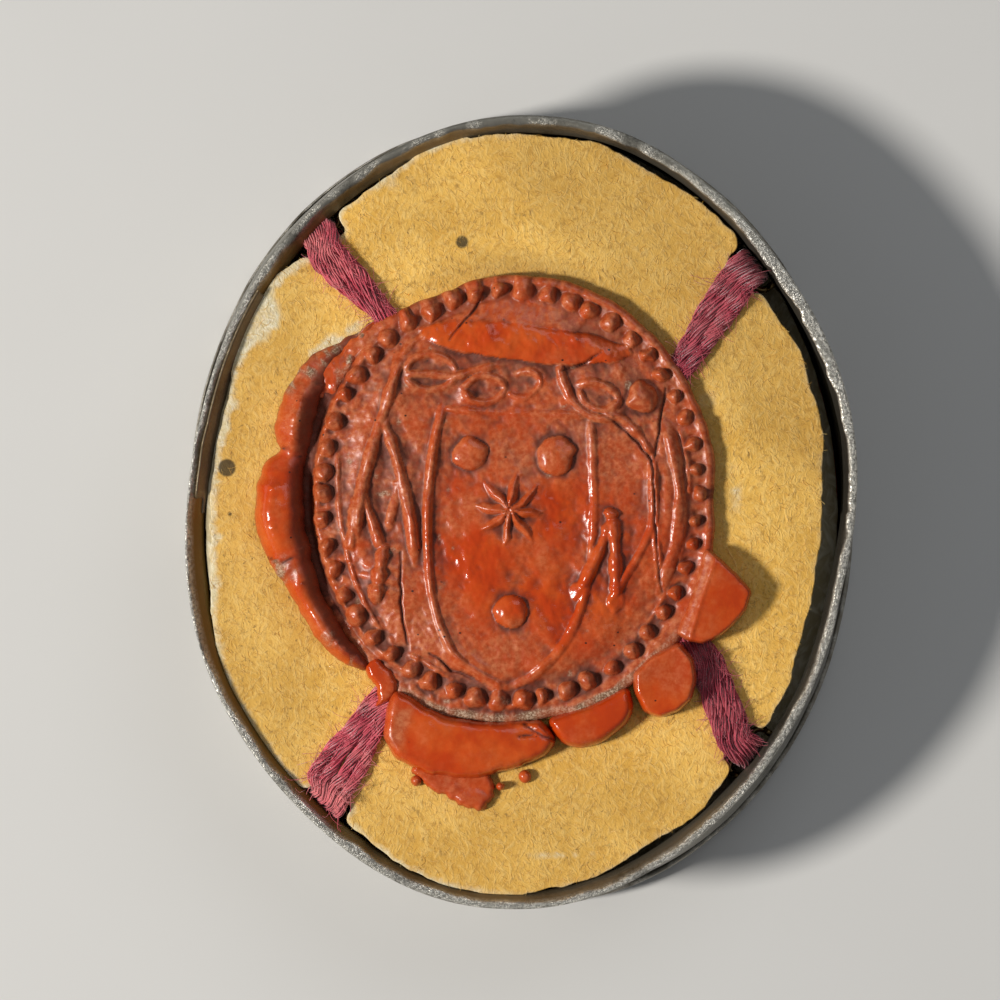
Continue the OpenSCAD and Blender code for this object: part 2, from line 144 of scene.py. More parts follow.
def loopNormals(loop):
    # outward for a loop that runs anticlockwise
    along = np.roll(loop, -1, 0) - np.roll(loop, 1, 0)
    out = np.column_stack([along[:, 1], -along[:, 0]])
    return out / np.maximum(np.linalg.norm(out, axis=1, keepdims=True), 1e-9)


def anticlockwise(loop):
    x, y = loop[:, 0], loop[:, 1]
    area = (x * np.roll(y, -1) - np.roll(x, -1) * y).sum()
    return loop if area > 0 else loop[::-1]


def insideLoop(points, loop):
    inside = np.zeros(len(points), bool)
    for (x1, y1), (x2, y2) in zip(loop, np.roll(loop, -1, 0)):
        if y1 == y2:
            continue
        crosses = (points[:, 1] < y1) != (points[:, 1] < y2)
        inside ^= crosses & (points[:, 0] < (x2 - x1) * (points[:, 1] - y1) / (y2 - y1) + x1)
    return inside


def lineDistance(points, line, closed=False):
    # distance to a polyline, and how far along it the nearest place is, 0 to 1
    line = np.asarray(line, float)
    a = line
    b = np.roll(line, -1, 0)
    if not closed:
        a, b = a[:-1], b[:-1]
    best = np.full(len(points), 1e9)
    place = np.zeros(len(points))
    for k, (p, q) in enumerate(zip(a, b)):
        d = q - p
        t = np.clip(((points - p) @ d) / max(d @ d, 1e-12), 0, 1)
        away = np.hypot(*(points - p - t[:, None] * d).T)
        nearer = away < best
        best[nearer] = away[nearer]
        place[nearer] = (k + t[nearer]) / len(a)
    return best, place


def polarRing(angle, radius, z):
    # points round the middle of the case, at angles in degrees
    turn = np.radians(angle)
    return np.column_stack([radius * np.cos(turn), radius * np.sin(turn), np.broadcast_to(z, angle.shape)])


def makeMesh(name, points, faces, attributes=None):
    mesh = bpy.data.meshes.new(name)
    mesh.from_pydata([tuple(p) for p in np.asarray(points) * mm], [], faces)
    mesh.validate()
    for key, values in (attributes or {}).items():
        layer = mesh.attributes.new(key, "FLOAT", "POINT")
        layer.data.foreach_set("value", np.asarray(values, np.float32))
    mesh.polygons.foreach_set("use_smooth", [True] * len(mesh.polygons))
    mesh.update()
    return placeObject(name, mesh)


def placeObject(name, data):
    piece = bpy.data.objects.new(name, data)
    bpy.context.scene.collection.objects.link(piece)
    return piece


def joinPieces(pieces):
    bpy.ops.object.select_all(action="DESELECT")
    for piece in pieces:
        piece.select_set(True)
    bpy.context.view_layer.objects.active = pieces[0]
    bpy.ops.object.join()
    return bpy.context.view_layer.objects.active


def finishPiece(piece, slot, material, *cadNodes):
    piece.data.materials.clear()
    piece.data.materials.append(material)
    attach(piece, "root")
    if cadNodes:
        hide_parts(*cadNodes)
    return piece


# places taken from the frame

def levelsOf(node):
    low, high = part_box(node)
    return low.z / mm, high.z / mm


faceTop = levelsOf("ochre_face")[1]      # the ochre face, which the wax and threads lie on
caseFoot, caseTop = levelsOf("case_wall")
sealCentre = np.array([(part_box("wax_seal")[0][k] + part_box("wax_seal")[1][k]) / 2 / mm for k in (0, 1)])


def radiusAround(points, centre, step=2):
    # the furthest point in each direction round a centre, as a function of angle
    away = points[:, :2] - centre
    angle = np.degrees(np.arctan2(away[:, 1], away[:, 0])) % 360
    radius = np.hypot(away[:, 0], away[:, 1])
    bins = np.arange(0, 360, step)
    best = np.full(len(bins), np.nan)
    for k, a in enumerate(bins):
        near = np.abs((angle - a + 180) % 360 - 180) < step * 1.01
        if near.any():
            best[k] = radius[near].max()
    known = ~np.isnan(best)
    return lambda a: np.interp(np.asarray(a) % 360, bins[known], best[known], period=360)


wallPoints = nodePoints("case_wall")
rimRadius = radiusAround(wallPoints[wallPoints[:, 2] > caseTop - 0.01], np.zeros(2), 4)
footRadius = radiusAround(wallPoints[wallPoints[:, 2] < caseFoot + 0.01], np.zeros(2), 4)
sealRadius = radiusAround(nodePoints("wax_seal"), sealCentre, 4)


# shader groups shared by several materials

def newGroup(name, inputs, outputs, kind="ShaderNodeTree"):
    tree = bpy.data.node_groups.new(name, kind)
    for label, socketKind, value in inputs:
        socket = tree.interface.new_socket(label, in_out="INPUT", socket_type=socketKind)
        if value is not None:
            socket.default_value = value
    for label, socketKind in outputs:
        tree.interface.new_socket(label, in_out="OUTPUT", socket_type=socketKind)
    return tree, tree.nodes.new("NodeGroupInput"), tree.nodes.new("NodeGroupOutput")


class Wiring:
    # short hand for placing and joining shader nodes in one tree
    def __init__(self, tree):
        self.tree = tree

    def add(self, kind, settings=None, **links):
        node = self.tree.nodes.new(kind)
        for key, value in (settings or {}).items():
            setattr(node, key, value)
        for key, value in links.items():
            self.join(value, node.inputs[key.replace("_", " ")])
        return node

    def join(self, value, socket):
        if hasattr(value, "is_output"):
            self.tree.links.new(value, socket)
        else:
            socket.default_value = value

    def math(self, kind, a, b=0.0, clamp=False):
        node = self.tree.nodes.new("ShaderNodeMath")
        node.operation = kind
        node.use_clamp = clamp
        self.join(a, node.inputs[0])
        self.join(b, node.inputs[1])
        return node.outputs[0]

    def times(self, a, b, clamp=False):
        return self.math("MULTIPLY", a, b, clamp)

    def plus(self, a, b, clamp=False):
        return self.math("ADD", a, b, clamp)

    def minus(self, a, b, clamp=False):
        return self.math("SUBTRACT", a, b, clamp)

    def noise(self, vector, scale, detail=4.0, roughness=0.55):
        node = self.add("ShaderNodeTexNoise", Vector=vector, Scale=scale, Detail=detail, Roughness=roughness)
        return node.outputs["Fac"]

    def cells(self, vector, scale):
        return self.add("ShaderNodeTexVoronoi", Vector=vector, Scale=scale).outputs["Distance"]

    def remap(self, value, low, high, toLow=0.0, toHigh=1.0):
        node = self.tree.nodes.new("ShaderNodeMapRange")
        node.interpolation_type = "SMOOTHSTEP"
        for socket, v in zip(node.inputs, (value, low, high, toLow, toHigh)):
            self.join(v, socket)
        return node.outputs[0]

    def blend(self, factor, a, b):
        node = self.tree.nodes.new("ShaderNodeMix")
        node.data_type = "RGBA"
        self.join(factor, node.inputs[0])
        self.join(a, node.inputs[6])
        self.join(b, node.inputs[7])
        return node.outputs[2]

    def stretch(self, vector, scale, turn=(0.0, 0.0, 0.0)):
        # turns the pattern, then makes it finer by scale along each of its own axes
        node = self.add("ShaderNodeMapping", {"vector_type": "TEXTURE"}, Vector=vector)
        node.inputs["Scale"].default_value = [1 / s for s in scale]
        node.inputs["Rotation"].default_value = turn
        return node.outputs[0]

    def bump(self, height, strength, distance):
        return self.add("ShaderNodeBump", Height=height, Strength=strength, Distance=distance).outputs[0]

    def attribute(self, name):
        return self.add("ShaderNodeAttribute", {"attribute_name": name}).outputs["Fac"]


def colour(r, g, b):
    # from the 0 to 255 values of a paint chart to the linear values that the shader takes
    linear = [((c / 255 + 0.055) / 1.055) ** 2.4 if c > 10 else c / 255 / 12.92 for c in (r, g, b)]
    return (*linear, 1.0)


def newMaterial(name, **values):
    material = bpy.data.materials.new(name)
    material.use_nodes = True
    wires = Wiring(material.node_tree)
    shader = material.node_tree.nodes["Principled BSDF"]
    for key, value in values.items():
        shader.inputs[key.replace("_", " ")].default_value = value
    place = wires.add("ShaderNodeTexCoord").outputs["Object"]
    return material, wires, shader, place


def newGeometryGroup(name, inputs):
    geometry = ("Geometry", "NodeSocketGeometry")
    return newGroup(name, [(*geometry, None)] + inputs, [geometry], "GeometryNodeTree")


def finishGeometry(w, geometry, material, end):
    solid = w.add("GeometryNodeRealizeInstances", Geometry=geometry)
    painted = w.add("GeometryNodeSetMaterial", Geometry=solid.outputs[0], Material=material)
    w.join(painted.outputs[0], end.inputs[0])


def paint(w, shader, **links):
    for key, value in links.items():
        w.join(value, shader.inputs[key.replace("_", " ")])


def grimeGroup():
    # soft patches with fine specks in them, for dirt, tarnish and bloom
    tree, start, end = newGroup("grimePatches", [("Vector", "NodeSocketVector", None),
                                                 ("Patch Scale", "NodeSocketFloat", 200.0),
                                                 ("Speck Scale", "NodeSocketFloat", 4000.0),
                                                 ("Cover", "NodeSocketFloat", 0.5)],
                                [("Mask", "NodeSocketFloat")])
    w = Wiring(tree)
    s = start.outputs
    patch = w.noise(s["Vector"], s["Patch Scale"], 5.0, 0.6)
    speck = w.noise(s["Vector"], s["Speck Scale"], 3.0, 0.7)
    low = w.minus(0.75, w.times(s["Cover"], 0.5))
    both = w.plus(w.times(patch, 0.75), w.times(speck, 0.25))
    w.join(w.remap(both, low, w.plus(low, 0.18)), end.inputs["Mask"])
    return tree


def fibreGroup():
    # short felted fibres that lie every way, as a height from 0 to 1
    tree, start, end = newGroup("feltFibres", [("Vector", "NodeSocketVector", None),
                                               ("Scale", "NodeSocketFloat", 1200.0)],
                                [("Height", "NodeSocketFloat")])
    w = Wiring(tree)
    s = start.outputs
    warp = w.add("ShaderNodeTexNoise", Vector=s["Vector"], Scale=420.0, Detail=2.0).outputs["Color"]
    bent = w.add("ShaderNodeVectorMath", {"operation": "MULTIPLY_ADD"})
    w.join(warp, bent.inputs[0])
    bent.inputs[1].default_value = (0.0012, 0.0012, 0.0)
    w.join(s["Vector"], bent.inputs[2])
    total = None
    for turn in (-0.7, -0.2, 0.25, 0.9):
        lain = w.stretch(bent.outputs[0], (1.0, 0.32, 1.0), (0.0, 0.0, turn))
        strand = w.noise(lain, s["Scale"], 2.0, 0.6)
        strand = w.remap(strand, 0.5, 0.75)
        total = strand if total is None else w.math("MAXIMUM", total, strand)
    w.join(total, end.inputs["Height"])
    return tree


grimePatches = grimeGroup()
feltFibres = fibreGroup()


def placeGroup(w, tree, **links):
    node = w.tree.nodes.new("ShaderNodeGroup")
    node.node_tree = tree
    for key, value in links.items():
        w.join(value, node.inputs[key.replace("_", " ")])
    return node.outputs


# the metal case

def tarnishedMetal(name, tone):
    material, w, shader, place = newMaterial(name)
    patches = placeGroup(w, grimePatches, Vector=place, Patch_Scale=260.0, Speck_Scale=5200.0, Cover=0.55)
    scratches = w.noise(w.stretch(place, (1.0, 1.0, 9.0)), 900.0, 4.0, 0.65)
    # rubbed metal is lightened here; on the wall's lip the same mask also holds painted light, darker at the
    # top and lighter on the right
    wornAndSideLight = w.attribute("wornAndSideLight")
    base = w.blend(patches[0], colour(*tone), colour(*(c * 0.55 for c in tone)))
    base = w.blend(w.remap(scratches, 0.55, 0.8), base, colour(*(min(255, c * 1.35) for c in tone)))
    # olive tint: real tarnish, and on the inner wall the painted reflection of the lit card
    base = w.blend(w.attribute("rustAndCardReflection"), base, colour(122, 94, 38))
    # painted shade inside the wall
    base = w.blend(w.attribute("paintedInnerShade"), base, colour(46, 40, 32))
    grains = w.remap(w.noise(place, 6200.0, 3.0, 0.8), 0.42, 0.58)
    rubbed = w.times(wornAndSideLight, w.plus(w.times(grains, 0.7), 0.3))
    base = w.blend(rubbed, base, colour(222, 218, 208))
    rough = w.plus(w.times(patches[0], 0.2), 0.42)
    rough = w.minus(rough, w.times(wornAndSideLight, 0.1), clamp=True)
    metallic = w.minus(0.8, w.times(w.attribute("rustAndCardReflection"), 0.5), clamp=True)
    height = w.plus(w.times(scratches, 0.5), w.noise(place, 1500.0, 5.0, 0.6))
    height = w.plus(height, w.times(grains, w.times(wornAndSideLight, 0.9)))
    paint(w, shader, Base_Color=base, Roughness=rough, Metallic=metallic, Normal=w.bump(height, 0.6, 0.00008))
    return material


caseMetal = tarnishedMetal("tarnishedSheet", (138, 134, 124))

wallLook = {
    "steps": 760,            # points round the wall
    "sheet": 0.35,
    # width of the lip by angle
    "lips": [(0, 0.38), (35, 0.6), (75, 0.55), (100, 0.42), (140, 0.36), (160, 0.24), (180, 0.14),
             (202, 0.18), (222, 0.44), (245, 0.48), (272, 0.3), (310, 0.36), (360, 0.38)],
    "flare": (0.34, 0.66),   # least and most that the lip leans out
    "flareTowards": 165,     # angle where it leans out most
    "flareDepth": 1.3,
    "dents": 0.07,
    "lipWaves": 0.07,
}


def wallRing(angle, z, depth, look):
    # radius of the wall at a height; depth is how far in from its outer face
    bendLow, bendHigh = caseFoot + 2.0, caseTop - 0.8
    lean = mix(*look["flare"], leaning(angle, look))
    drop = np.clip((caseTop - z) / look["flareDepth"], 0, 1)
    rim = rimRadius(angle) - lean * ease(drop) ** 0.8
    radius = mix(footRadius(angle), rim, ease((z - bendLow) / (bendHigh - bendLow)))
    dents = layeredNoise(angle / 8, z * 0.6 + 40, 2.2, 11, 3) * look["dents"] * ease((z - caseFoot) / 1.5)
    return radius + dents * ease((caseTop + 0.4 - z) / 1.5) - depth


def leaning(angle, look):
    facing = 0.5 + 0.5 * np.cos(np.radians(angle - look["flareTowards"]))
    uneven = 0.3 * softNoise(angle / 30, angle * 0 + 3, 1.0, 21)
    return np.clip(facing ** 0.8 + uneven, 0, 1)


def buildWall(look):
    angle = np.arange(look["steps"]) * 360 / look["steps"]
    top = caseTop - look["lipWaves"] * (1 + layeredNoise(angle / 10, angle * 0, 1.6, 5, 3)) * 0.8
    lipThickness = np.interp(angle, *np.array(look["lips"]).T)
    lipThickness = lipThickness * (1 + 0.22 * layeredNoise(angle / 4, angle * 0 + 9, 1.0, 31, 3))
    section = [(z, 0.0) for z in np.linspace(caseFoot, caseTop - 1.6, 7)]
    section += [(caseTop - d, 0.0) for d in (1.3, 1.05, 0.8, 0.6, 0.42, 0.28, 0.16, 0.08)]
    section += [(caseTop - 0.03, 0.14), (caseTop, 0.35), (caseTop, 0.65), (caseTop - 0.03, 0.86)]
    section += [(caseTop - d, 1.0) for d in (0.08, 0.16, 0.28, 0.42, 0.6, 0.8, 1.05, 1.3)]
    section += [(z, 1.0) for z in np.linspace(caseTop - 1.6, caseFoot, 7)]
    points, wornAndSideLight, rustAndCardReflection, paintedInnerShade = [], [], [], []
    for z, inward in section:
        nearTop = np.clip(1 - (caseTop - z) / 0.7, 0, 1)
        height = z - (caseTop - top) * nearTop
        thickness = mix(look["sheet"], lipThickness, nearTop)
        radius = wallRing(angle, np.full_like(angle, z), inward * thickness, look)
        points.append(polarRing(angle, radius, height))
        onLip = np.clip(1.25 - (caseTop - z) / 0.3, 0, 1)
        patchy = 0.8 + 0.5 * layeredNoise(points[-1][:, 0], points[-1][:, 1], 0.8, 8, 3)
        # painted light: the lip is made darker along the top of the case and lighter on its right side
        paintedSideLight = 0.75 * ease((np.cos(np.radians(angle - 92)) - 0.6) / 0.3)
        paintedSideLight = paintedSideLight - 0.3 * ease(np.cos(np.radians(angle - 20)))
        wornAndSideLight.append(np.clip(onLip * (patchy - paintedSideLight), 0, 1))
        # the inner wall on the left is painted olive as the reflection of the lit card; a little real tarnish
        # lies inside all round
        facingLitCard = 0.5 + 0.5 * np.cos(np.radians(angle - 185))
        depthIn = ease((caseTop - z - 0.05) / 0.32) if inward == 1.0 else 0
        rustAndCardReflection.append(np.clip(facingLitCard ** 1.4 * depthIn * 1.15 + 0.1 * patchy * (inward == 1.0), 0, 1))
        # painted shade down the inner wall, away from the left side
        paintedInnerShade.append(np.clip((1 - facingLitCard ** 0.6) * depthIn * 0.85, 0, 1))
    count, rings = look["steps"], len(section)
    faces = [(i * count + j, i * count + (j + 1) % count,
              (i + 1) % rings * count + (j + 1) % count, (i + 1) % rings * count + j)
             for i in range(rings) for j in range(count)]
    wall = makeMesh("caseWall", np.vstack(points), faces, {"wornAndSideLight": np.concatenate(wornAndSideLight),
                                                           "rustAndCardReflection": np.concatenate(rustAndCardReflection),
                                                           "paintedInnerShade": np.concatenate(paintedInnerShade)})
    return finishPiece(wall, "case_metal", caseMetal, "case_wall")


buildWall(wallLook)
print("case wall done")

# the strap gets a little wear, the olive of tarnish with the painted reflection of the lit card, and painted
# shade
strapLook = {"thickness": 0.1, "steps": 90, "ragged": 0.12, "wornAndSideLight": 0.06, "rustAndCardReflection": 0.7, "paintedInnerShade": 0.25}


def buildStrap(look):
    # the inner layer at the wall's joint, with a ragged end
    co = nodePoints("wall_seam_strap")
    angles = np.degrees(np.arctan2(co[:, 1], co[:, 0])) % 360
    angle = np.linspace(angles.min(), angles.max(), look["steps"])
    levels = np.linspace(*levelsOf("wall_seam_strap"), 9)
    taper = ease((angle.max() - angle) / 4)
    points = []
    for side in (0, 1):
        for k, z in enumerate(levels):
            depth = wallLook["sheet"] + 0.01 + side * look["thickness"] * (0.3 + 0.7 * taper)
            cut = mix(1.0, 0.25, (1 - taper)) if k > 4 else 1.0
            torn = look["ragged"] * 0.3 * softNoise(angle, angle * 0, 1.1, 4) * (k > 6)
            height = mix(levels[0], z, cut) + torn
            radius = wallRing(angle, np.full_like(angle, z), depth, wallLook)
            points.append(polarRing(angle, radius, height))
    n, m = look["steps"], len(levels)
    rows = list(range(m)) + list(range(2 * m - 1, m - 1, -1))
    faces = []
    for a, b in zip(rows, rows[1:] + rows[:1]):
        faces += [(a * n + j, a * n + j + 1, b * n + j + 1, b * n + j) for j in range(n - 1)]
    faces.append([r * n for r in reversed(rows)])
    faces.append([r * n + n - 1 for r in rows])
    strap = makeMesh("seamStrap", np.vstack(points), faces,
                     {key: np.full(2 * n * m, look[key]) for key in ("wornAndSideLight", "rustAndCardReflection", "paintedInnerShade")})
    return finishPiece(strap, "case_metal", caseMetal, "wall_seam_strap")


buildStrap(strapLook)
print("seam strap done")


# flat sheets of card, cloth and glass, cut to the frame's outlines

def clockwise(loop):
    return anticlockwise(loop)[::-1]


def filled(rings, inner):
    # triangles over the area between outlines, using the points given inside it
    points = np.vstack(list(rings) + [inner])
    edges, start = [], 0
    for ring in rings:
        edges += [(start + k, start + (k + 1) % len(ring)) for k in range(len(ring))]
        start += len(ring)
    outer = list(range(len(rings[0])))
    verts, _, faces, origin = delaunay_2d_cdt([Vector(p) for p in points], edges[len(outer):], [outer], 1,
                                              1e-7)[:4]
    kept = np.array([[f[0], f[1], f[2]] for f in faces if len(f) == 3])
    verts = np.array([tuple(v) for v in verts])
    middle = verts[kept].mean(1)
    for hole in rings[1:]:
        kept, middle = kept[~insideLoop(middle, hole)], middle[~insideLoop(middle, hole)]
    source = np.array([o[0] if len(o) else -1 for o in origin])
    return source[kept][(source[kept] >= 0).all(1)]


def scattered(loops, spacing, clear, seed):
    # a jittered grid of points inside an outline, clear of its edges
    low, high = loops[0].min(0), loops[0].max(0)
    u, v = np.meshgrid(np.arange(low[0], high[0], spacing), np.arange(low[1], high[1], spacing))
    points = np.column_stack([u.ravel(), v.ravel()])
    points += np.random.default_rng(seed).uniform(-0.3, 0.3, points.shape) * spacing
    keep = insideLoop(points, loops[0])
    for hole in loops[1:]:
        keep &= ~insideLoop(points, hole)
    points = points[keep]
    for loop in loops:
        points = points[lineDistance(points, loop, closed=True)[0] > clear]
    return points


def insideWall(loop, low, high, gap):
    # pulls an outline in where it would run into the case wall
    angle = np.degrees(np.arctan2(loop[:, 1], loop[:, 0])) % 360
    levels = np.linspace(low, high, 5)
    rings = [wallRing(angle, np.full_like(angle, z), wallLook["sheet"], wallLook) for z in levels]
    reach = np.min(rings, axis=0) - gap
    radius = np.hypot(*loop.T)
    return loop * np.minimum(1, reach / radius)[:, None]


bulgeCentre = (-13.2, 9.6)   # where the packet swells out towards the wall


def buildPlate(loops, low, high, look, wave=None):
    # a sheet with rounded edges; wave gives how far its surface moves up or down at a point
    spacing, rounding = look["spacing"], look["edgeRound"]
    loops = [resampled(anticlockwise(p) if k == 0 else clockwise(p), look.get("edgeStep", spacing))
             for k, p in enumerate(loops)]
    loops = [smoothedLoop(p, look.get("smoothing", 0)) for p in loops]
    ways = [loopNormals(p) for p in loops]
    ragged, grow = look.get("ragged", 0), look.get("grow", 0)
    bulge = look.get("bulge", 0)
    loops = [p
             + n * (grow + bulge * np.exp(-((p - bulgeCentre) ** 2).sum(1) / 7) + ragged * (layeredNoise(*p.T,
                                                                                                         0.7,
                                                                                                         15,
                                                                                                         3)
                                                                                            - 0.6))[:,
                                                                                                    None]
             for p, n in zip(loops, ways)]
    if "wallGap" in look:
        loops = [insideWall(p, low, high, look["wallGap"]) for p in loops]
    steps = [(1.0, 0.0), (0.62, 0.08), (0.3, 0.3), (0.08, 0.62), (0.0, 1.0)]
    drop = min(rounding, (high - low) * 0.45)
    rings = []
    for points, way in zip(loops, ways):
        own = [(points - way * (inset * rounding), high - down * drop) for inset, down in steps]
        own += [(points, low + drop), (points - way * rounding * 0.7, low)]
        rings.append(own)
    top = [own[0][0] for own in rings]
    inner = scattered(top, spacing, spacing * 0.6, look.get("seed", 1))
    coarse = scattered(top, spacing * 2.2, spacing * 1.2, 5)
    faces, points, heights = [], [], []
    start = 0
    firsts, lasts = [], []
    for own in rings:
        count = len(own[0][0])
        for k, (ring, z) in enumerate(own):
            points.append(ring)
            heights.append(np.full(count, z))
            if k:
                a = start + (k - 1) * count + np.arange(count)
                b = a + count
                faces += np.stack([np.roll(a, -1), a, b, np.roll(b, -1)], -1).tolist()
        firsts.append(start + np.arange(count))
        lasts.append(start + (len(own) - 1) * count + np.arange(count))
        start += len(own) * count
    for which, fill, z, flip in ((firsts, inner, high, False), (lasts, coarse, low, True)):
        outlines = [np.vstack(points)[w] for w in which]
        index = np.concatenate(which + [start + np.arange(len(fill))])
        tris = index[filled(outlines, fill)]
        faces += (tris[:, ::-1] if flip else tris).tolist()
        points.append(fill)
        heights.append(np.full(len(fill), z))
        start += len(fill)
    points, heights = np.vstack(points), np.concatenate(heights)
    if wave:
        heights = heights + wave(points[:, 0], points[:, 1])
    return np.column_stack([points, heights]), faces, loops


def edgeDistance(points, loops):
    return np.min([lineDistance(points, loop, closed=True)[0] for loop in loops], axis=0)


def cardWave(x, y):
    # the rear card's slow unevenness, dipping a little at its edges
    r = np.hypot(x / 15.4, y / 19)
    dip = ease((r - 0.72) / 0.35) * (0.12 + 0.16 * ease((x + y) / 22))
    return -dip * (0.7 + 0.4 * softNoise(x, y, 5, 19)) - 0.05 * (1 + softNoise(x, y, 3.6, 29))


def blot(x, y, centre, size, turn=0.0, soft=0.25, seed=0, wobble=0.22):
    c, s = math.cos(math.radians(turn)), math.sin(math.radians(turn))
    dx, dy = x - centre[0], y - centre[1]
    u, v = (dx * c + dy * s) / size[0], (-dx * s + dy * c) / size[1]
    edge = 1 + wobble * layeredNoise(x, y, 0.6, 40 + seed, 3)
    return ease((edge - np.hypot(u, v)) / soft)


def cardStock(name, light, dark):
    # pressed white card of felted fibres, a little yellowed
    material, w, shader, place = newMaterial(name, Roughness=0.88)
    felt = placeGroup(w, feltFibres, Vector=place, Scale=2200.0)
    patches = placeGroup(w, grimePatches, Vector=place, Patch_Scale=180.0, Speck_Scale=3500.0, Cover=0.35)
    base = w.blend(felt[0], colour(*dark), colour(*light))
    base = w.blend(w.times(patches[0], 0.4), base, colour(*(c * 0.72 for c in dark)))
    paint(w, shader, Base_Color=base, Normal=w.bump(felt[0], 0.6, 0.00005))
    return material


whiteCard = cardStock("whiteCard", (226, 217, 190), (188, 172, 132))


inkSpots = [(-14.65, 2.2, 0.44), (-2.9, 13.5, 0.31), (-14.5, -0.1, 0.1)]   # place and radius


def ochreMaterial():
    # yellow felted paper: mottled, flecked with short dark hairs, scraped white in places
    material, w, shader, place = newMaterial("ochrePaper", Roughness=0.95, Specular_IOR_Level=0.25)
    felt = placeGroup(w, feltFibres, Vector=place, Scale=4600.0)
    fine = placeGroup(w, feltFibres, Vector=w.stretch(place, (1.0, 1.0, 1.0), (0.0, 0.0, 0.7)), Scale=8200.0)
    mottle = w.noise(place, 330.0, 5.0, 0.62)
    base = w.blend(w.remap(mottle, 0.3, 0.7), colour(222, 170, 76), colour(244, 194, 98))
    base = w.blend(w.times(felt[0], 0.35), base, colour(255, 222, 146))
    base = w.blend(w.times(w.remap(w.noise(place, 2600.0, 4.0, 0.75), 0.5, 0.66), 0.5),
                   base, colour(176, 124, 50))
    flecks = w.noise(w.stretch(place, (1.0, 0.4, 1.0), (0.0, 0.0, 0.3)), 5200.0, 3.0, 0.65)
    crossed = w.noise(w.stretch(place, (0.5, 1.0, 1.0), (0.0, 0.0, 0.5)), 5600.0, 3.0, 0.65)
    flecks = w.math("MAXIMUM", w.remap(flecks, 0.58, 0.74), w.remap(crossed, 0.6, 0.76))
    grubby = w.remap(w.noise(place, 150.0, 3.0, 0.6), 0.4, 0.62, 0.25, 1.0)
    base = w.blend(w.times(flecks, grubby), base, colour(146, 112, 62))
    # darkens real stains, and painted shade and shadow laid on the face
    base = w.blend(w.times(w.attribute("stainsAndShade"), 0.55), base, colour(132, 104, 62))
    scraped = w.attribute("scraped")
    base = w.blend(scraped, base, w.blend(fine[0], colour(212, 198, 158), colour(240, 232, 208)))
    base = w.blend(w.times(w.times(flecks, 0.6), scraped), base, colour(134, 104, 70))
    base = w.blend(w.attribute("reddened"), base, colour(186, 74, 44))
    flat = w.add("ShaderNodeVectorMath", {"operation": "MULTIPLY"})
    w.join(place, flat.inputs[0])
    flat.inputs[1].default_value = (1.0, 1.0, 0.0)
    for x, y, radius in inkSpots:
        away = w.add("ShaderNodeVectorMath", {"operation": "DISTANCE"})
        w.join(flat.outputs[0], away.inputs[0])
        away.inputs[1].default_value = (x * mm, y * mm, 0.0)
        edge = w.plus(away.outputs["Value"], w.times(mottle, 0.00012))
        spot = w.remap(edge, (radius + 0.12) * mm, (radius - 0.02) * mm, 0.0, 0.88)
        base = w.blend(spot, base, colour(58, 52, 40))
    height = w.plus(w.times(felt[0], 0.9), w.times(fine[0], 0.45))
    height = w.plus(height, w.times(mottle, 0.8))
    paint(w, shader, Base_Color=base, Normal=w.bump(height, 0.45, 0.00005))
    return material


ochrePaper = ochreMaterial()

cardLook = {"spacing": 0.45, "edgeStep": 0.22, "edgeRound": 0.1, "smoothing": 5, "ragged": 0.05, "grow": 0.05,
            "bulge": 0.34, "wallGap": 0.06, "seed": 3}
faceLook = {"spacing": 0.21, "edgeStep": 0.14, "edgeRound": 0.07, "smoothing": 12, "ragged": 0.07,
            "grow": 0.2, "bulge": 0.38, "wallGap": 0.03, "seed": 4}


def buildRearCard():
    low, high = levelsOf("backing_card")
    points, faces, _ = buildPlate(flatLoops("backing_card", high)[:1], low, high - 0.01, cardLook, cardWave)
    return finishPiece(makeMesh("rearCard", points, faces), "white_card", whiteCard, "backing_card")


# shallow creases in the ochre face: points along them
faceCreases = [[(-6.6, 17.9), (-5.6, 16.8), (-4.6, 15.7)], [(-5.8, 18.2), (-5.2, 17.2)],
               [(-8.6, 7.0), (-9.9, 9.3)], [(2.0, -17.2), (5.6, -17.0)], [(9.6, 14.4), (10.9, 12.9)]]


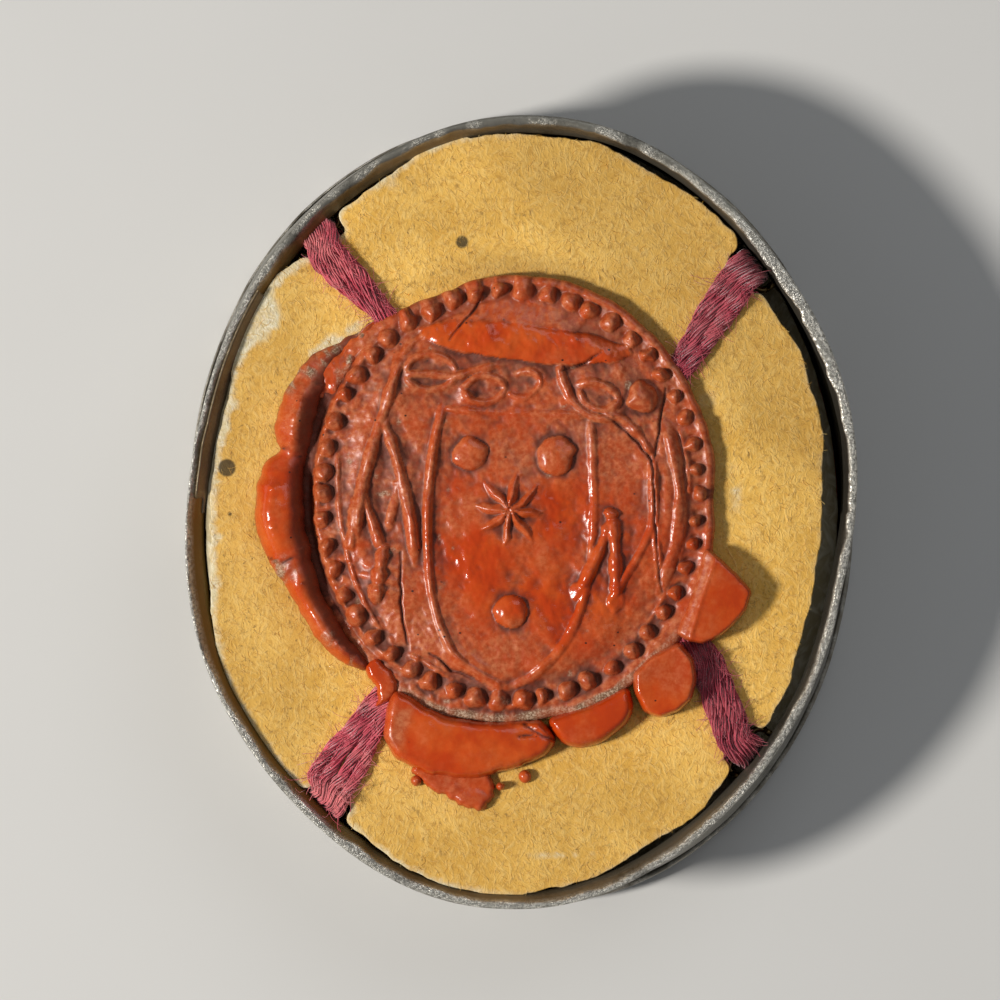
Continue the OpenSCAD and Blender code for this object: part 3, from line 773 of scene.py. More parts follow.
def buildFace():
    low, high = levelsOf("ochre_face")
    points, faces, outline = buildPlate(flatLoops("ochre_face", high)[:1], low, high, faceLook, cardWave)
    x, y, z = points.T
    fromEdge = edgeDistance(points[:, :2], outline)
    for line in faceCreases:
        away, place = lineDistance(points[:, :2], line)
        z = z - 0.05 * np.exp(-(away / 0.16) ** 2) * np.sin(np.clip(place, 0.05, 0.95) * math.pi)
    z = z + 0.012 * layeredNoise(x, y, 0.8, 61, 3) * ease(fromEdge / 0.3)
    points = np.column_stack([x, y, np.minimum(z, high + 0.02)])
    flakes = np.clip(0.5 + 0.9 * layeredNoise(x, y, 0.55, 45, 4), 0, 1)
    scraped = np.maximum.reduce([
        blot(x, y, (-13.1, 9.5), (0.85, 1.75), -30, 0.25, 1) * (0.7 + 0.3 * flakes),
        blot(x, y, (-14.2, 7.9), (0.4, 0.9), -20, 0.5, 2) * flakes,
        blot(x, y, (-9.55, 8.3), (1.2, 0.52), 30, 0.35, 3) * (0.75 + 0.25 * flakes),
        blot(x, y, (-8.3, 9.25), (0.9, 0.34), 34, 0.6, 9) * (0.5 + 0.4 * flakes),
        0.95 * ease((0.36 + 0.14 * layeredNoise(x, y, 0.6, 52, 2) - fromEdge) / 0.08) * ease((-x - 9) / 2.5)
        * ease((y + 8) / 3) * (0.75 + 0.25 * flakes),
        blot(x, y, (10.75, 1.1), (0.35, 1.3), 4, 0.6, 4) * flakes * 0.7,
        blot(x, y, (9.4, 5.6), (0.4, 1.0), 10, 0.7, 5) * flakes * 0.45,
        blot(x, y, (1.9, -17.15), (2.2, 0.07), 2, 0.5, 6) * 0.5,
        blot(x, y, (-6.6, 16.7), (0.5, 0.9), 30, 0.6, 7) * flakes * 0.55,
        0.9 * ease((0.16 - fromEdge) / 0.12) * ease((-x + 2) / 6) * (0.35 + 0.65 * flakes),
        0.5 * ease((0.1 - fromEdge) / 0.08) * flakes])
    reddened = np.maximum(blot(x, y, (-8.6, 8.0), (1.6, 0.45), 40, 0.8, 8) * 0.55,
                          blot(x, y, (-6.9, 9.3), (1.0, 0.4), 30, 0.8, 10) * 0.5)
    sealAway = np.hypot((x + 0.6) / 10.3, (y - 0.7) / 11.3)
    # real stains at given spots and in random patches; painted shadow of the seal just outside it to the
    # upper right; painted shade in the upper right corner; darker towards the left and towards the bottom
    stainsAndShade = np.maximum.reduce([blot(x, y, (2.25, 16.1), (0.9, 0.5), -30, 1.0, 14) * 0.55,
                               blot(x, y, (1.4, 15.1), (0.6, 0.35), 20, 1.0, 15) * 0.4,
                               blot(x, y, (-5.2, 16.3), (0.35, 1.1), -25, 0.9, 16) * 0.5,
                               blot(x, y, (-4.9, -17.8), (0.6, 0.3), 10, 0.9, 17) * 0.6,
                               ease((1.16 - sealAway) / 0.16) * ease((x + y - 4) / 8) * 0.75,
                               0.42 * ease((-x - 8.5) / 3), 0.5 * ease((x + y - 13) / 5),
                               0.32 * ease((-y - 11) / 4), 0.22 * np.clip(layeredNoise(x, y, 5.0, 48, 3), 0,
                                                                          1)])
    values = {"scraped": scraped, "reddened": reddened, "stainsAndShade": stainsAndShade}
    return finishPiece(makeMesh("ochreFace", points, faces, values), "ochre_face", ochrePaper, "ochre_face")


def fibreTree(material):
    # short bent fibres strewn over a surface
    tree, start, end = newGeometryGroup("strewnFibres", [("Density", "NodeSocketFloat", 5e6),
                                                         ("Fibre Length", "NodeSocketFloat", 0.0009),
                                                         ("Fibre Radius", "NodeSocketFloat", 0.00001),
                                                         ("Seed", "NodeSocketInt", 4)])
    w = Wiring(tree)
    s = start.outputs
    up = w.add("GeometryNodeInputNormal").outputs[0]
    upward = w.add("ShaderNodeSeparateXYZ", Vector=up).outputs["Z"]
    flatOnly = w.add("FunctionNodeCompare", {"operation": "GREATER_THAN"}, A=upward, B=0.9).outputs[0]
    spread = w.add("GeometryNodeDistributePointsOnFaces", Mesh=s["Geometry"], Selection=flatOnly,
                   Density=s["Density"], Seed=s["Seed"])
    half = w.times(s["Fibre Length"], 0.5)
    arc = w.add("GeometryNodeCurveQuadraticBezier", Resolution=4)
    w.join(w.add("ShaderNodeCombineXYZ", X=w.times(half, -1.0)).outputs[0], arc.inputs["Start"])
    w.join(w.add("ShaderNodeCombineXYZ", Y=w.times(half, 0.5),
                 Z=w.times(half, 0.12)).outputs[0], arc.inputs["Middle"])
    w.join(w.add("ShaderNodeCombineXYZ", X=half).outputs[0], arc.inputs["End"])
    hoop = w.add("GeometryNodeCurvePrimitiveCircle", Resolution=3, Radius=s["Fibre Radius"])
    fibre = w.add("GeometryNodeCurveToMesh", Curve=arc.outputs[0], Fill_Caps=True)
    w.join(hoop.outputs[0], fibre.inputs["Profile Curve"])
    turn = w.add("FunctionNodeRandomValue", {"data_type": "FLOAT_VECTOR"})
    turn.inputs[0].default_value = (-0.06, -0.06, 0.0)
    turn.inputs[1].default_value = (0.06, 0.06, 6.283)
    w.join(s["Seed"], turn.inputs["Seed"])
    size = w.add("FunctionNodeRandomValue", {"data_type": "FLOAT"})
    size.inputs[2].default_value = 0.45
    size.inputs[3].default_value = 1.3
    w.join(w.plus(s["Seed"], 1.0), size.inputs["Seed"])
    strewn = w.add("GeometryNodeInstanceOnPoints", Points=spread.outputs["Points"], Instance=fibre.outputs[0],
                   Rotation=turn.outputs[0], Scale=size.outputs[1])
    finishGeometry(w, strewn.outputs[0], material, end)
    return tree


def withNodes(source, tree, name, **values):
    # runs a node tree on an object and keeps the result as a plain mesh
    modifier = source.modifiers.new("nodes", "NODES")
    modifier.node_group = tree
    sockets = {item.name: item.identifier for item in tree.interface.items_tree if item.in_out == "INPUT"}
    for key, value in values.items():
        modifier[sockets[key.replace("_", " ")]] = value
    bpy.context.view_layer.update()
    result = source.evaluated_get(bpy.context.evaluated_depsgraph_get())
    mesh = bpy.data.meshes.new_from_object(result)
    source.modifiers.remove(modifier)
    mesh.name = name
    mesh.polygons.foreach_set("use_smooth", [True] * len(mesh.polygons))
    return placeObject(name, mesh)


def fibreMaterial():
    material, w, shader, place = newMaterial("looseFibres", Roughness=0.9, Specular_IOR_Level=0.25)
    tone = w.noise(place, 2600.0, 2.0, 0.5)
    base = w.blend(w.remap(tone, 0.4, 0.6), colour(214, 162, 76), colour(255, 222, 144))
    base = w.blend(w.remap(w.noise(place, 1900.0, 1.0), 0.72, 0.76), base, colour(150, 114, 64))
    paint(w, shader, Base_Color=base, Normal=w.bump(tone, 0.2, 0.00002))
    return material


buildRearCard()
face = buildFace()
print("rear card and ochre face done")
fibreLook = {"Density": 6.2e6, "Fibre_Length": 0.00042, "Fibre_Radius": 0.000008, "Seed": 4}
looseFibres = fibreMaterial()
faceFibres = withNodes(face, fibreTree(looseFibres), "faceFibres", **fibreLook)
finishPiece(faceFibres, "ochre_face", looseFibres, "ochre_face")
print("face fibres done", len(faceFibres.data.polygons))


# sealing wax

def waxMaterial():
    # warm red wax: clean and glossy where it stands proud, dark brown in the hollows as painted shade and
    # dirt, dusty under its film
    material, w, shader, place = newMaterial("sealingWax", Specular_IOR_Level=0.55, IOR=1.46)
    hollow, bloomAndHighlight, grit = w.attribute("hollow"), w.attribute("bloomAndHighlight"), w.attribute("grit")
    mottle = w.noise(place, 520.0, 5.0, 0.6)
    fine = w.noise(place, 3200.0, 4.0, 0.65)
    clean = w.blend(w.remap(mottle, 0.35, 0.7), colour(184, 58, 12), colour(204, 82, 22))
    dustAndHighlight = w.blend(w.remap(fine, 0.35, 0.7), colour(168, 70, 30), colour(198, 112, 70))
    # the film mask carries dusty bloom, and on the pad's left end and the flap's left slope a painted
    # highlight
    filmAndHighlight = w.plus(bloomAndHighlight, w.times(w.minus(mottle, 0.5), 0.9), clamp=True)
    base = w.blend(filmAndHighlight, clean, dustAndHighlight)
    # painted shade and dirt darken the hollows
    dark = w.times(hollow, w.remap(fine, 0.1, 0.6, 0.65, 1.0), clamp=True)
    base = w.blend(dark, base, colour(66, 24, 14))
    grains = w.remap(w.noise(place, 9000.0, 2.0, 0.8), 0.45, 0.6)
    base = w.blend(grit, base, w.blend(grains, colour(120, 88, 62), colour(186, 162, 136)))
    specks = w.remap(w.cells(w.stretch(place, (1.0, 1.3, 1.0)), 1300.0), 0.12, 0.05)
    specks = w.times(specks, w.remap(w.noise(place, 300.0, 2.0), 0.52, 0.6), clamp=True)
    base = w.blend(specks, base, colour(58, 30, 22))
    rough = w.plus(w.times(filmAndHighlight, 0.2), w.times(fine, 0.08))
    rough = w.plus(rough, w.times(w.math("MAXIMUM", dark, grit), 0.45))
    rough = w.plus(rough, 0.12, clamp=True)
    relief = w.plus(w.times(fine, 0.6), w.times(mottle, 1.2))
    relief = w.plus(relief, w.times(w.noise(place, 8000.0, 3.0, 0.7), 0.35))
    paint(w, shader, Base_Color=base, Roughness=rough, Normal=w.bump(relief, 0.32, 0.00006))
    return material


sealingWax = waxMaterial()

sealLook = {
    "cells": 288,              # squares across the seal
    "edgeRound": 0.36,         # how far in the edge starts to round over
    "field": 1.02,             # height of the field over the card
    "ringCentre": (-0.5, 0.85),
    "ringSize": (9.42, 10.2),  # half width and half height of the row of beads
    "beads": 50,
    "beadRadius": 0.47,
    "beadHeight": 0.47,
    "groove": 0.72,            # height of the hollow that the beads stand in
    "waves": 0.07,
    "seed": 7,
    "star": ((-0.5, 0.1), 2.0, 8, 0.66),   # centre, radius, rays and height
    # the hollows' dark is painted shade and dirt
    "hollow": 0.86,            # how dark the hollows get
}

# height of the margin outside the beads, by angle round the seal
sealMargin = [(0, 0.72), (40, 0.78), (75, 0.85), (110, 0.75), (135, 0.6), (148, 0.34), (165, 0.26),
              (195, 0.26), (215, 0.34), (228, 0.55), (245, 0.62), (270, 0.6), (300, 0.7), (330, 0.8),
              (360, 0.72)]

# cords, knots and tassels of the device: points along the ridge, half width, height
sealRidges = {"brimLine": ([(-6.3, 7.4), (-5.2, 8.6), (-3.6, 9.5), (-1.8, 9.9)], 0.16, 0.16),
              "outerCordLeft": ([(-6.0, 7.7), (-6.5, 6.0), (-7.0, 4.4), (-7.6, 2.4), (-8.0, 0.6),
                                 (-8.2, -1.2)], 0.24, 0.34), "innerCordLeft": ([(-6.9, 4.6), (-6.4, 3.4),
                                                                                (-5.9, 1.6), (-5.5, -0.4),
                                                                                (-5.2, -2.6)], 0.24, 0.36),
              "tasselLeftA": ([(-7.5, 2.6), (-7.9, 1.2), (-7.4, -0.4), (-6.9, -1.9)], 0.22, 0.3),
              "tasselLeftB": ([(-6.8, -1.5), (-7.0, -2.9), (-7.2, -4.1)], 0.3, 0.34),
              "tasselLeftC": ([(-6.6, -0.8), (-6.2, 0.8), (-6.1, 1.6)], 0.2, 0.22),
              "tasselLeftD": ([(-8.2, 0.8), (-8.4, -0.8), (-8.6, -1.9)], 0.22, 0.26),
              "knotLeftA": ([(-5.8, 6.9), (-5.4, 7.6), (-4.5, 7.9), (-3.6, 7.6), (-3.2, 6.9), (-3.7, 6.3),
                             (-4.6, 6.1), (-5.4, 6.4), (-5.8, 6.9)], 0.17, 0.2),
              "knotLeftB": ([(-5.8, 6.9), (-4.6, 6.9), (-3.2, 6.8), (-2.2, 7.1), (-1.2, 7.3)], 0.18, 0.24),
              "knotLeftC": ([(-2.9, 6.2), (-2.0, 6.8), (-1.0, 6.6), (-0.8, 6.0), (-1.5, 5.5), (-2.4, 5.6),
                             (-2.9, 6.2)], 0.17, 0.24), "knotMiddle": ([(-0.8, 6.0), (0.2, 5.7), (1.0, 6.4),
                                                                        (0.6, 7.0), (-0.3, 6.9)], 0.16, 0.2),
              "knotRightA": ([(1.9, 7.4), (2.2, 6.4), (2.8, 5.4), (3.8, 4.7), (4.9, 4.8)], 0.2, 0.28),
              "knotRightB": ([(2.8, 6.3), (3.7, 6.5), (4.6, 6.1), (4.9, 5.5), (4.2, 5.1), (3.3, 5.4),
                              (2.8, 6.3)], 0.18, 0.24), "knotRightC": ([(4.0, 5.1), (5.2, 4.6), (6.0, 3.8),
                                                                        (6.5, 2.8)], 0.18, 0.22),
              "outerCordRight": ([(7.4, 4.3), (7.8, 2.4), (8.0, 0.6), (7.8, -1.6), (7.0, -4.0)], 0.26, 0.34),
              "edgeCordRight": ([(8.05, 4.2), (8.45, 2.3), (8.5, 0.8)], 0.18, 0.22),
              "innerCordRight": ([(6.6, 2.7), (6.65, 0.8), (6.6, -0.6), (5.9, -2.2), (5.2, -3.3),
                                  (4.5, -4.6)], 0.2, 0.26), "tasselRightA": ([(4.6, -0.2), (4.0, -1.8),
                                                                              (3.0, -4.0)], 0.24, 0.3),
              "tasselRightB": ([(4.6, -0.2), (4.75, -2.2), (4.8, -4.2)], 0.26, 0.36),
              "tasselRightC": ([(6.6, -0.6), (6.9, -2.2), (6.95, -3.6)], 0.18, 0.2),
              "shieldLeft": ([(-3.9, 5.2), (-4.3, 3.3), (-4.6, 0.6), (-4.6, -2.4), (-4.2, -5.0), (-3.3, -7.1),
                              (-1.6, -8.4), (-0.6, -8.8)], 0.2, 0.3),
              "shieldRight": ([(-0.6, -8.8), (0.9, -8.0), (2.3, -6.4), (3.2, -4.2), (3.6, -1.6), (3.7, 0.8),
                               (3.6, 3.0), (3.5, 4.8)], 0.2, 0.2),
              "shieldTop": ([(-3.9, 5.2), (-2.0, 5.0), (1.0, 4.9), (3.5, 4.8)], 0.16, 0.16),
              "footLineA": ([(-5.5, -7.1), (-4.6, -7.6), (-3.7, -8.2)], 0.14, 0.22),
              "footLineB": ([(-2.4, -7.9), (-1.7, -8.6), (-1.2, -9.1)], 0.16, 0.22),
              "ringLineLeft": ([(-9.1, 2.8), (-9.1, 0.8), (-8.8, -1.4), (-8.1, -3.8), (-7.0, -5.9)], 0.12,
                               0.2), "ringLineRight": ([(7.6, 4.6), (8.3, 1.8), (8.2, -1.2), (7.6, -3.4),
                                                        (6.4, -5.6)], 0.1, 0.12),}

# raised shapes with a flat or domed top: centre, half sizes, turn in degrees, height, how flat the top is
sealBosses = {
    "hatBrim": ((0.3, 8.45), (5.4, 0.95), -6, 0.3, 0.75),
    "hatCrown": ((0.2, 9.7), (3.2, 1.0), 0, 0.16, 0.3),
    "knob": ((6.1, 5.85), (0.72, 0.72), 0, 0.5, 0.35),
    "tasselEndA": ((-7.2, -4.0), (0.42, 0.5), 10, 0.42, 0.4),
    "tasselEndB": ((4.6, -0.2), (0.34, 0.36), 0, 0.42, 0.4),
    "tasselEndC": ((3.0, -4.0), (0.5, 0.6), 30, 0.22, 0.4),
    "tasselEndD": ((4.8, -4.4), (0.4, 0.7), 0, 0.2, 0.4),
    "roundelLeft": ((-2.6, 2.9), (0.95, 0.9), 0, 0.42, 0.5),
    "roundelRight": ((1.7, 2.8), (0.98, 0.92), 0, 0.44, 0.5),
    "roundelLow": ((-0.5, -5.0), (0.9, 0.9), 0, 0.4, 0.5),
    "swell": ((-0.5, 0.2), (3.2, 3.4), 0, 0.14, 0.1),
}

# fine cracks: points along them
sealCracks = [[(4.0, 5.0), (5.4, 4.0), (6.6, 2.6), (6.7, 0.6), (6.8, -1.6), (7.1, -4.0)],
              [(7.3, 6.2), (7.0, 4.4), (6.7, 2.6)],
              [(-3.5, 8.6), (-2.2, 10.2), (-1.9, 10.9)],
              [(-6.0, -2.0), (-5.9, -5.4), (-5.6, -6.6)],
              [(4.1, 8.0), (3.2, 7.4), (2.0, 7.0)],
              [(-4.5, -7.0), (-3.4, -7.9), (-2.4, -8.3)]]


def starHeight(points, centre, radius, rays, rise):
    # an embossed star: ridges along the rays, falling to the notches between them
    away = points - centre
    r = np.hypot(*away.T)
    angle = np.degrees(np.arctan2(away[:, 1], away[:, 0])) + 8
    part = np.abs((angle * rays / 360 + 0.5) % 1 - 0.5) * 2
    reach = radius * (1 - 0.62 * part ** 0.8)
    return rise * np.clip(1 - r / reach, 0, 1) ** 0.55 * (1 - 0.35 * part)


def bossHeight(points, centre, size, turn, rise, flat):
    away = points - centre
    c, s = math.cos(math.radians(turn)), math.sin(math.radians(turn))
    u = (away[:, 0] * c + away[:, 1] * s) / size[0]
    v = (-away[:, 0] * s + away[:, 1] * c) / size[1]
    inside = np.clip(1 - (u * u + v * v), 0, 1)
    return rise * inside ** (0.75 - 0.55 * flat)


def ridgeHeight(points, line, width, rise):
    line = curvedLine(line, 8)
    away, place = lineDistance(points, line)
    ends = np.clip(np.minimum(place, 1 - place) * 9 + 0.35, 0, 1)
    uneven = 1 + 0.3 * softNoise(place * 9, place * 0 + width * 50, 1.0, 3)
    k = np.clip(away / (width * uneven), 0, 1)
    return rise * ends * uneven * (1 - k * k) ** 0.9


def curvedLine(line, steps):
    # a smooth line through a few points
    p = np.asarray(line, float)
    if len(p) < 3:
        return p
    p = np.vstack([2 * p[0] - p[1], p, 2 * p[-1] - p[-2]])
    out = []
    for a, b, c, d in zip(p, p[1:], p[2:], p[3:]):
        for t in np.arange(steps) / steps:
            out.append(0.5 * (2 * b + (c - a) * t + (2 * a - 5 * b + 4 * c - d) * t * t
                              + (3 * b - a - 3 * c + d) * t ** 3))
    return np.array(out + [p[-2]])


def sealSurface(points, look):
    # height over the card, and how far outside the row of beads each point is
    x, y = points.T
    middle = np.array(look["ringCentre"])
    away = (points - middle) / look["ringSize"]
    r = np.hypot(*away.T)
    outside = (r - 1) * np.hypot(*(points - middle).T) / np.maximum(r, 1e-6)
    angle = np.degrees(np.arctan2(away[:, 1], away[:, 0])) % 360
    field = look["field"] + look["waves"] * layeredNoise(x, y, 4.5, 51, 3)
    field = field + 0.06 * layeredNoise(x * 0.8 + y * 0.55, (y - x) * 0.3, 0.9, 57, 4)
    field = field + 0.05 * layeredNoise(x * 0.9 - y * 0.4, (y + x) * 0.25, 1.1, 83, 3)
    tilt = 0.1 * (-x / 10)
    inner = ease((outside + 1.7) / 1.1)
    z = mix(field + tilt, look["groove"] + tilt, inner)
    margin = np.interp(angle, *np.array(sealMargin).T) + 0.06 * layeredNoise(x, y, 1.4, 77, 3)
    z = mix(z, margin, ease((outside - 0.25) / 0.4))
    return z, outside, angle


def deviceHeight(points, worked, look):
    # cords, knots and outlines as ridges, then the bosses and the star over them
    relief = np.zeros(len(points))
    for line, width, rise in sealRidges.values():
        wide = ridgeHeight(points, line, width * 3.2, rise * 0.35)
        relief = np.maximum(relief, ridgeHeight(points, line, width * 1.25, rise * 0.85) + wide)
    relief = relief * (0.85 + 0.3 * softNoise(*points.T, 1.3, 87))
    for shape in sealBosses.values():
        boss = bossHeight(worked, *shape)
        relief = np.maximum(relief, boss) + 0.25 * np.minimum(relief, boss)
    return np.maximum(relief, starHeight(worked, *look["star"]))


def addBeads(points, warped, z, look):
    # a ring of worn beads, each with a pit beside it and a painted shadow in its lee
    rng = np.random.default_rng(look["seed"])
    top = np.zeros(len(points))
    leeShadow = np.zeros(len(points))
    for k in range(look["beads"]):
        a = 2 * math.pi * (k + rng.uniform(-0.1, 0.1)) / look["beads"]
        shift = rng.uniform(-0.07, 0.07, 2)
        centre = look["ringCentre"] + np.array(look["ringSize"]) * (math.cos(a), math.sin(a)) + shift
        radius = look["beadRadius"] * rng.uniform(0.82, 1.12) * (1 - 0.22 * max(0, math.cos(a)))
        high = look["beadHeight"] * rng.uniform(0.7, 1.1)
        lean = rng.uniform(0, math.pi)
        longWay = (math.cos(lean), math.sin(lean))
        away = warped - centre
        away = away + np.outer(away @ longWay, longWay) * rng.uniform(-0.12, 0.22)
        d = np.hypot(*away.T) / (radius * 1.08)
        near = d < 1
        top[near] = np.maximum(top[near], high * (1 - d[near] ** 2) ** 0.8)
        tangent = np.array([-math.sin(a), math.cos(a)]) * radius * 1.15
        z = z - 0.12 * np.exp(-(np.hypot(*(points - centre - tangent).T) / 0.18) ** 2)
        # painted shadow on each bead's right, the side away from the light
        lee = np.hypot(*(points - centre - (radius, radius * 0.1)).T) / (0.3 * rng.uniform(0.8, 1.15))
        leeShadow = np.maximum(leeShadow, np.exp(-lee ** 2) * rng.uniform(0.5, 1.0))
        z = z - 0.14 * np.exp(-lee ** 2)
    return z + top, leeShadow


def crackDepth(points):
    # deepest in the middle of each crack
    shaken = points + 0.05 * np.column_stack([softNoise(*points.T, 0.5, seed) for seed in (5, 6)])
    crack = np.zeros(len(points))
    for line in sealCracks:
        away, place = lineDistance(shaken, line)
        crack = np.maximum(crack, np.exp(-(away / 0.055) ** 2) * (0.4 + 0.6 * np.sin(place * math.pi)))
    return crack


def blurred(grid, wide):
    # the mean over a square that reaches so many steps each way
    span = 2 * wide + 1
    for axis in (0, 1):
        pad = np.concatenate([np.repeat(grid.take([0], axis), wide, axis), grid,
                              np.repeat(grid.take([-1], axis), wide, axis)], axis)
        total = np.cumsum(np.insert(pad, 0, 0, axis), axis)
        count = grid.shape[axis]
        grid = (total.take(range(span, span + count), axis) - total.take(range(count), axis)) / span
    return grid


def sealFilm(points, grid, outside, ringAngle, fromRim, beadShadow, crack):
    # painted shade and dirt in what lies under its surroundings, with painted shade in the cracks, the bead
    # lees and the trench by the spill, and less of it round the upper right; dusty bloom off the worn middle,
    # grit at the foot
    x, y = points.T
    closeHollow, wideHollow = [(blurred(grid, wide) - grid).ravel() for wide in (6, 16)]
    hollow = np.clip(closeHollow * 9 + wideHollow * 2.8 - 0.12, 0, 1)
    # painted shadow of the spill across the trench on the left
    trench = ease((outside - 0.35) / 0.4) * ease((38 - np.abs(ringAngle - 178)) / 14)
    # less painted shade round the upper right of the ring
    upRight = ease((np.cos(np.radians(ringAngle - 62)) + 0.1) / 0.7) * ease((outside + 1.6) / 0.8)
    hollow = np.clip((hollow + beadShadow * 0.9) * (1 - 0.5 * upRight) + crack * 0.9 + trench, 0, 1)
    centreClean = np.exp(-(np.hypot((x - 0.5) / 5.5, (y + 2.5) / 5.5)) ** 2 * 1.2)
    onBrim = bossHeight(points, *sealBosses["hatBrim"]) > 0.12
    bloomAndHighlight = np.clip(0.95 - 0.95 * centreClean - 0.75 * onBrim + 0.45 * layeredNoise(x, y, 2.2, 63, 3), 0, 1)
    lowEdge = np.exp(-((ringAngle - 278) / 42) ** 4) * ease((0.24 - fromRim) / 0.2)
    spots = ease((layeredNoise(x, y, 0.9, 71, 3) - 0.9) / 0.3) * ease(hollow * 4) * 0.7
    grit = np.clip(lowEdge * (0.75 + 0.5 * softNoise(x, y, 0.5, 3)) + spots * 0.8, 0, 1)
    return hollow, bloomAndHighlight, grit


def buildSeal(look):
    cells, rounding = look["cells"], look["edgeRound"]
    u, v = np.meshgrid(np.linspace(-1, 1, cells + 1), np.linspace(-1, 1, cells + 1), indexing="ij")
    discX, discY = u * np.sqrt(1 - v * v / 2), v * np.sqrt(1 - u * u / 2)
    angle = np.degrees(np.arctan2(discY, discX))
    wobble = 0.1 * layeredNoise(np.cos(np.radians(angle)) * 10, np.sin(np.radians(angle)) * 10, 1.6, 91, 4)
    reach = sealRadius(angle) + wobble - rounding
    points = sealCentre + np.column_stack([(discX * reach).ravel(), (discY * reach).ravel()])
    fromRim = (1 - np.hypot(discX, discY).ravel()) * np.ravel(reach)
    z, outside, ringAngle = sealSurface(points, look)
    x, y = points.T
    warped = points + 0.1 * np.column_stack([softNoise(x, y, 0.45, seed) for seed in (101, 102)])
    worked = warped + 0.14 * np.column_stack([softNoise(x, y, 1.1, seed) for seed in (103, 104)])
    z = z + deviceHeight(points, worked, look) * (1 - ease((outside + 0.6) / 0.5))
    z, beadShadow = addBeads(points, warped, z, look)
    crack = crackDepth(points)
    z = z - 0.2 * crack
    z = z + 0.022 * layeredNoise(x, y, 0.5, 33, 3) + 0.012 * softNoise(x, y, 0.16, 35)
    crusty = ease((outside + 1.6) / 1.0) * (0.4 + 0.6 * ease((-x + 3) / 8))
    z = z + crusty * 0.05 * layeredNoise(x, y, 0.34, 93, 2)
    hollow, bloomAndHighlight, grit = sealFilm(points, z.reshape(u.shape), outside, ringAngle, fromRim, beadShadow, crack)

    n = cells + 1
    index = np.arange(n * n).reshape(n, n)
    faces = np.stack([index[:-1, :-1], index[1:, :-1], index[1:, 1:], index[:-1, 1:]], -1).reshape(-1,
                                                                                                   4).tolist()
    rim = np.concatenate([index[:-1, 0], index[-1, :-1], index[:0:-1, -1], index[0, :0:-1]])
    allPoints = [np.column_stack([points, faceTop + z])]
    top = points[rim]
    way = loopNormals(top)
    topZ = z[rim]
    ring = [rim]
    start = len(points)
    profile = [(math.sin(t), 1 - math.cos(t)) for t in np.radians((22, 45, 66, 84))]
    profile += [(1.0, 1.3), (0.9, 1.7)]
    for out, down in profile:
        low = np.maximum(topZ - np.minimum(down * rounding, topZ - 0.04 - 0.02 * out), 0.03)
        flow = 0.05 * softNoise(top[:, 0], top[:, 1], 0.7, 13) * out
        allPoints.append(np.column_stack([top + way * (out * rounding + flow)[:, None], faceTop + low]))
        ring.append(np.arange(start, start + len(rim)))
        start += len(rim)
    allPoints.append(np.column_stack([top + way * rounding * 0.8, np.full(len(rim), faceTop)]))
    ring.append(np.arange(start, start + len(rim)))
    for a, b in zip(ring, ring[1:]):
        a2, b2 = np.roll(a, -1), np.roll(b, -1)
        faces += np.stack([a2, a, b, b2], -1).tolist()
    faces.append(ring[-1][::-1].tolist())
    films = {"hollow": hollow * look["hollow"], "bloomAndHighlight": bloomAndHighlight, "grit": grit}
    films = {key: np.concatenate([film] + [film[rim]] * (len(ring) - 1)) for key, film in films.items()}
    seal = makeMesh("waxSeal", np.vstack(allPoints), faces, films)
    return finishPiece(seal, "sealing_wax", sealingWax, "wax_seal")


buildSeal(sealLook)
print("wax seal done")


# spilt wax round the seal

